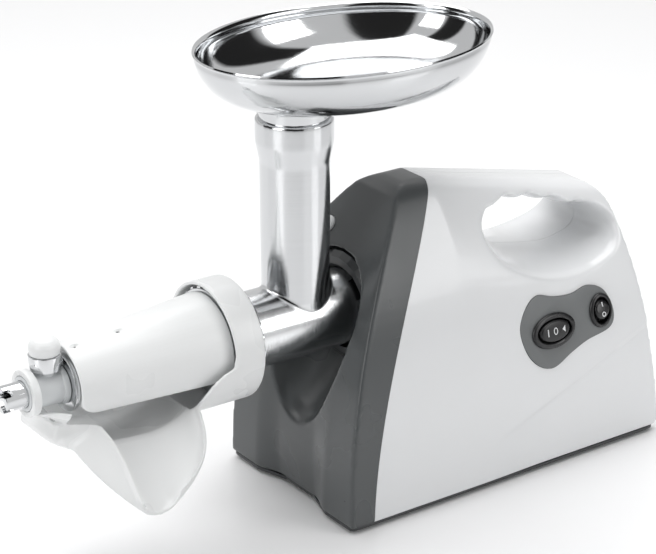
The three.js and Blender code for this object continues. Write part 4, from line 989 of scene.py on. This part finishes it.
def switchSolid(s):
    proud = panel["proud"]
    a, b, rim = s["a"], s["b"], s["rim"]
    at = onPanel @ Matrix.Translation((s["x"], s["y"], 0))
    return ovalStack([(a - 2, b - 2, -s["depth"]), (a - 2, b - 2, proud + 0.15),
                      (a - 0.2, b - 0.2, proud + 0.15), (a, b, proud + 0.5), (a - 0.3, b - 0.3, proud + 1.6),
                      (a - 1.2, b - 1.2, proud + 2.3), (a - rim + 0.8, b - rim + 0.8, proud + 2.4),
                      (a - rim, b - rim, proud + 1.8), (a - rim, b - rim, -9)], 96, at)


def rockerSolid(s, lengthwise):
    a, b = s["a"] - s["rim"] - 1.2, s["b"] - s["rim"] - 1.2
    top = panel["proud"] + rockerHeight
    levels = []
    heights = [-6, -4, -2, 0, 2, top - 1.6, top - 0.7, top - 0.15, top]
    for z in heights:
        trim = max(z - (top - 1.6), 0)
        inwards = 1.6 - math.sqrt(max(1.6 ** 2 - trim ** 2, 0))
        if lengthwise:
            reach = math.sqrt(a * a - (z - pinDepth) ** 2)
            levels.append((min(a, reach) - inwards, b - inwards, z))
        else:
            reach = math.sqrt(b * b - (z - pinDepth) ** 2)
            levels.append((a - inwards, min(b, reach) - inwards, z))
    return ovalStack(levels, 96)


def marks(outlines, z):
    made = None
    for corners in outlines:
        mark = plate(corners, z - 0.3, z + 0.12)
        made = mark if made is None else join(made, mark)
    return made


def ringMark(u, v, a, b, z):
    outer = ovalStack([(a, b, z - 0.3, u, v), (a, b, z + 0.12, u, v)], 40)
    inner = ovalStack([(a - 0.7, b - 0.7, z - 1, u, v), (a - 0.7, b - 0.7, z + 1, u, v)], 40)
    return cut(outer, inner)


def makeSwitches():
    plateObj = panelSolid(0, panel["proud"] - panel["thickness"], panel["proud"])
    for s in (modeSwitch, powerSwitch):
        hole = ovalStack([(s["a"] - 1.7, s["b"] - 1.7, -12), (s["a"] - 1.7, s["b"] - 1.7, 12)], 96,
                         onPanel @ Matrix.Translation((s["x"], s["y"], 0)))
        cut(plateObj, hole)
    rounded(plateObj, 0.7)
    finished(plateObj, "controlPanel", "housing", ["control_panel"], coats["panelGrey"])
    finished(switchSolid(modeSwitch), "modeSwitchBody", "housing", ["mode_switch"], coats["black"])
    finished(switchSolid(powerSwitch), "powerSwitchBody", "housing", ["power_switch"], coats["black"])
    top = panel["proud"] + rockerHeight
    modeAt = onPanel @ Matrix.Translation((modeSwitch["x"], modeSwitch["y"], 0))
    finished(moved(rockerSolid(modeSwitch, True), modeAt), "modeRocker", "mode_rocker", ["mode_rocker"],
             coats["black"])
    bar = marks([[(-8.2, -2.8), (-7.3, -2.8), (-7.3, 2.8), (-8.2, 2.8)]], top)
    arrow = marks([[(6.2, 0), (9, -2.6), (9, 2.6)]], top)
    signs = join(bar, arrow, ringMark(-0.4, 0, 2, 2.8, top))
    finished(moved(signs, modeAt), "modeMarks", "mode_rocker", [], coats["whitePaint"])
    pin = Matrix.Translation((powerSwitch["x"], powerSwitch["y"], pinDepth))
    tilted = onPanel @ pin @ Matrix.Rotation(-rockerTilt, 4, "X") @ Matrix.Translation((0, 0, -pinDepth))
    finished(moved(rockerSolid(powerSwitch, False), tilted), "powerRocker", "power_rocker", ["power_rocker"],
             coats["black"])
    bar = marks([[(-0.4, 2.0), (0.4, 2.0), (0.4, 5.6), (-0.4, 5.6)]], top)
    signs = join(bar, ringMark(0, -3.9, 1.9, 1.9, top))
    finished(moved(signs, tilted), "powerMarks", "power_rocker", [], coats["whitePaint"])


def makeButton():
    r, proud = button["radius"], button["proud"]
    cap = turned([(0, -20), (2, -20), (2, -6), (r + 1.4, -6), (r + 1.4, -3.8), (r, -3.8), (r, proud - 1.4),
                  (r - 0.6, proud - 0.5), (r - 2, proud - 0.1), (0, proud)], 0.3, 64, buttonPlace)
    finished(cap, "releaseButton", "release_button", ["release_button"], coats["juicerWhite"])


makeSwitches()
makeButton()
print("switches and button made")

# ---- finishes for the frame's own pieces

inside = {
    "darkGrey": ["bayonet_socket", "base_plate"],
    "rubber": ["foot_front_control", "foot_front_plain", "foot_rear_control", "foot_rear_plain"],
    "black": ["cord_inlet"],
    "steel": ["base_screw_front_control", "base_screw_front_plain", "base_screw_rear_control",
              "base_screw_rear_plain", "release_spring", "output_shaft", "second_gear_pin", "first_gear_pin",
              "gearbox_screw_1", "gearbox_screw_2", "gearbox_screw_3", "motor_bearing_front",
              "motor_bearing_rear", "armature_shaft", "motor_pinion"],
    "gearSteel": ["output_gear", "second_gear"],
    "nylon": ["first_gear"],
    "zinc": ["gearbox_case", "gearbox_lid", "motor_bracket_front", "motor_bracket_rear"],
    "copper": ["field_coil_upper", "field_coil_lower", "commutator"],
    "brass": ["output_bush", "brush_holder_control", "brush_holder_plain"],
    "laminations": ["stator_core", "armature_core"],
    "fanPlastic": ["cooling_fan"],
    "barrelMetal": ["feed_screw"],
    "juicerWhite": ["press_screw", "screw_washer"],
}
for coat, names in inside.items():
    for name in names:
        nodes[name].data.materials.clear()
        nodes[name].data.materials.append(coats[coat])
        nodes[name].data.set_sharp_from_angle(angle=math.radians(35))

# ---- floor, light and camera

bm = bmesh.new()
bmesh.ops.create_circle(bm, cap_ends=True, segments=96, radius=9)
floor = objectFrom(bm, "floor")
floorMaterial, _, floorShader = newMaterial("pale floor")
floorShader.inputs["Base Color"].default_value = (0.93, 0.93, 0.935, 1)
floorShader.inputs["Roughness"].default_value = 0.22
floorShader.inputs["Specular IOR Level"].default_value = 0.35
floor.data.materials.append(floorMaterial)


def softbox(name, place, target, width, height, power, shade=(1, 1, 1)):
    light = bpy.data.lights.new(name, "AREA")
    light.shape = "RECTANGLE"
    light.size, light.size_y = width, height
    light.energy = power
    light.color = shade
    lamp = bpy.data.objects.new(name, light)
    scene.collection.objects.link(lamp)
    lamp.location = place
    lamp.rotation_mode = "QUATERNION"
    lamp.rotation_quaternion = (Vector(target) - Vector(place)).to_track_quat("-Z", "Y")
    return lamp


softbox("overhead", (0.1, 0.5, 2.3), (0, 0.1, 0.1), 2.4, 2.4, 47)
softbox("left", (-2.0, -0.2, 1.0), (0, 0, 0.15), 0.9, 1.6, 12.5)
softbox("right", (1.3, -1.9, 1.1), (0.05, 0, 0.12), 1.0, 1.4, 12.5)

world = bpy.data.worlds.new("studio")
scene.world = world
world.use_nodes = True
tree = world.node_tree
background = tree.nodes["Background"]
direction = tree.nodes.new("ShaderNodeTexCoord").outputs["Generated"]
flat = vectorNode(tree, "MULTIPLY", direction, (1, 1, 0))
bearing = vectorNode(tree, "NORMALIZE", flat)
dark = None
# dark screens stand in front of the bench, to its right and to its left
screens = (((-0.56, -0.83, 0), 0.86, 0.9), ((0.95, -0.3, 0), 0.9, 0.94), ((-0.9, 0.43, 0), 0.95, 0.97))
for way, start, end in screens:
    facing = vectorNode(tree, "DOT_PRODUCT", bearing, way)
    screen = rangeNode(tree, facing, 0.0, 1.0, start, end)
    dark = screen if dark is None else mathNode(tree, "MAXIMUM", dark, screen)
level = rangeNode(tree, dark, 0.95, 0.03)
tree.links.new(level, background.inputs["Color"])
background.inputs["Strength"].default_value = 0.76

cameraPlace = {"x": -0.83541, "y": -1.2153, "z": 0.7863, "yaw": 0.618, "pitch": 0.394, "lens": 122.9}
cameraData = bpy.data.cameras.new("camera")
cameraData.lens = cameraPlace["lens"]
cameraData.sensor_width = 36
camera = bpy.data.objects.new("camera", cameraData)
scene.collection.objects.link(camera)
camera.location = (tubeX + cameraPlace["x"], cameraPlace["y"], cameraPlace["z"])
camera.rotation_euler = (math.pi / 2 - cameraPlace["pitch"], 0, -cameraPlace["yaw"])
scene.camera = camera
scene.view_settings.view_transform = "Standard"
scene.view_settings.look = "None"
print("studio ready")
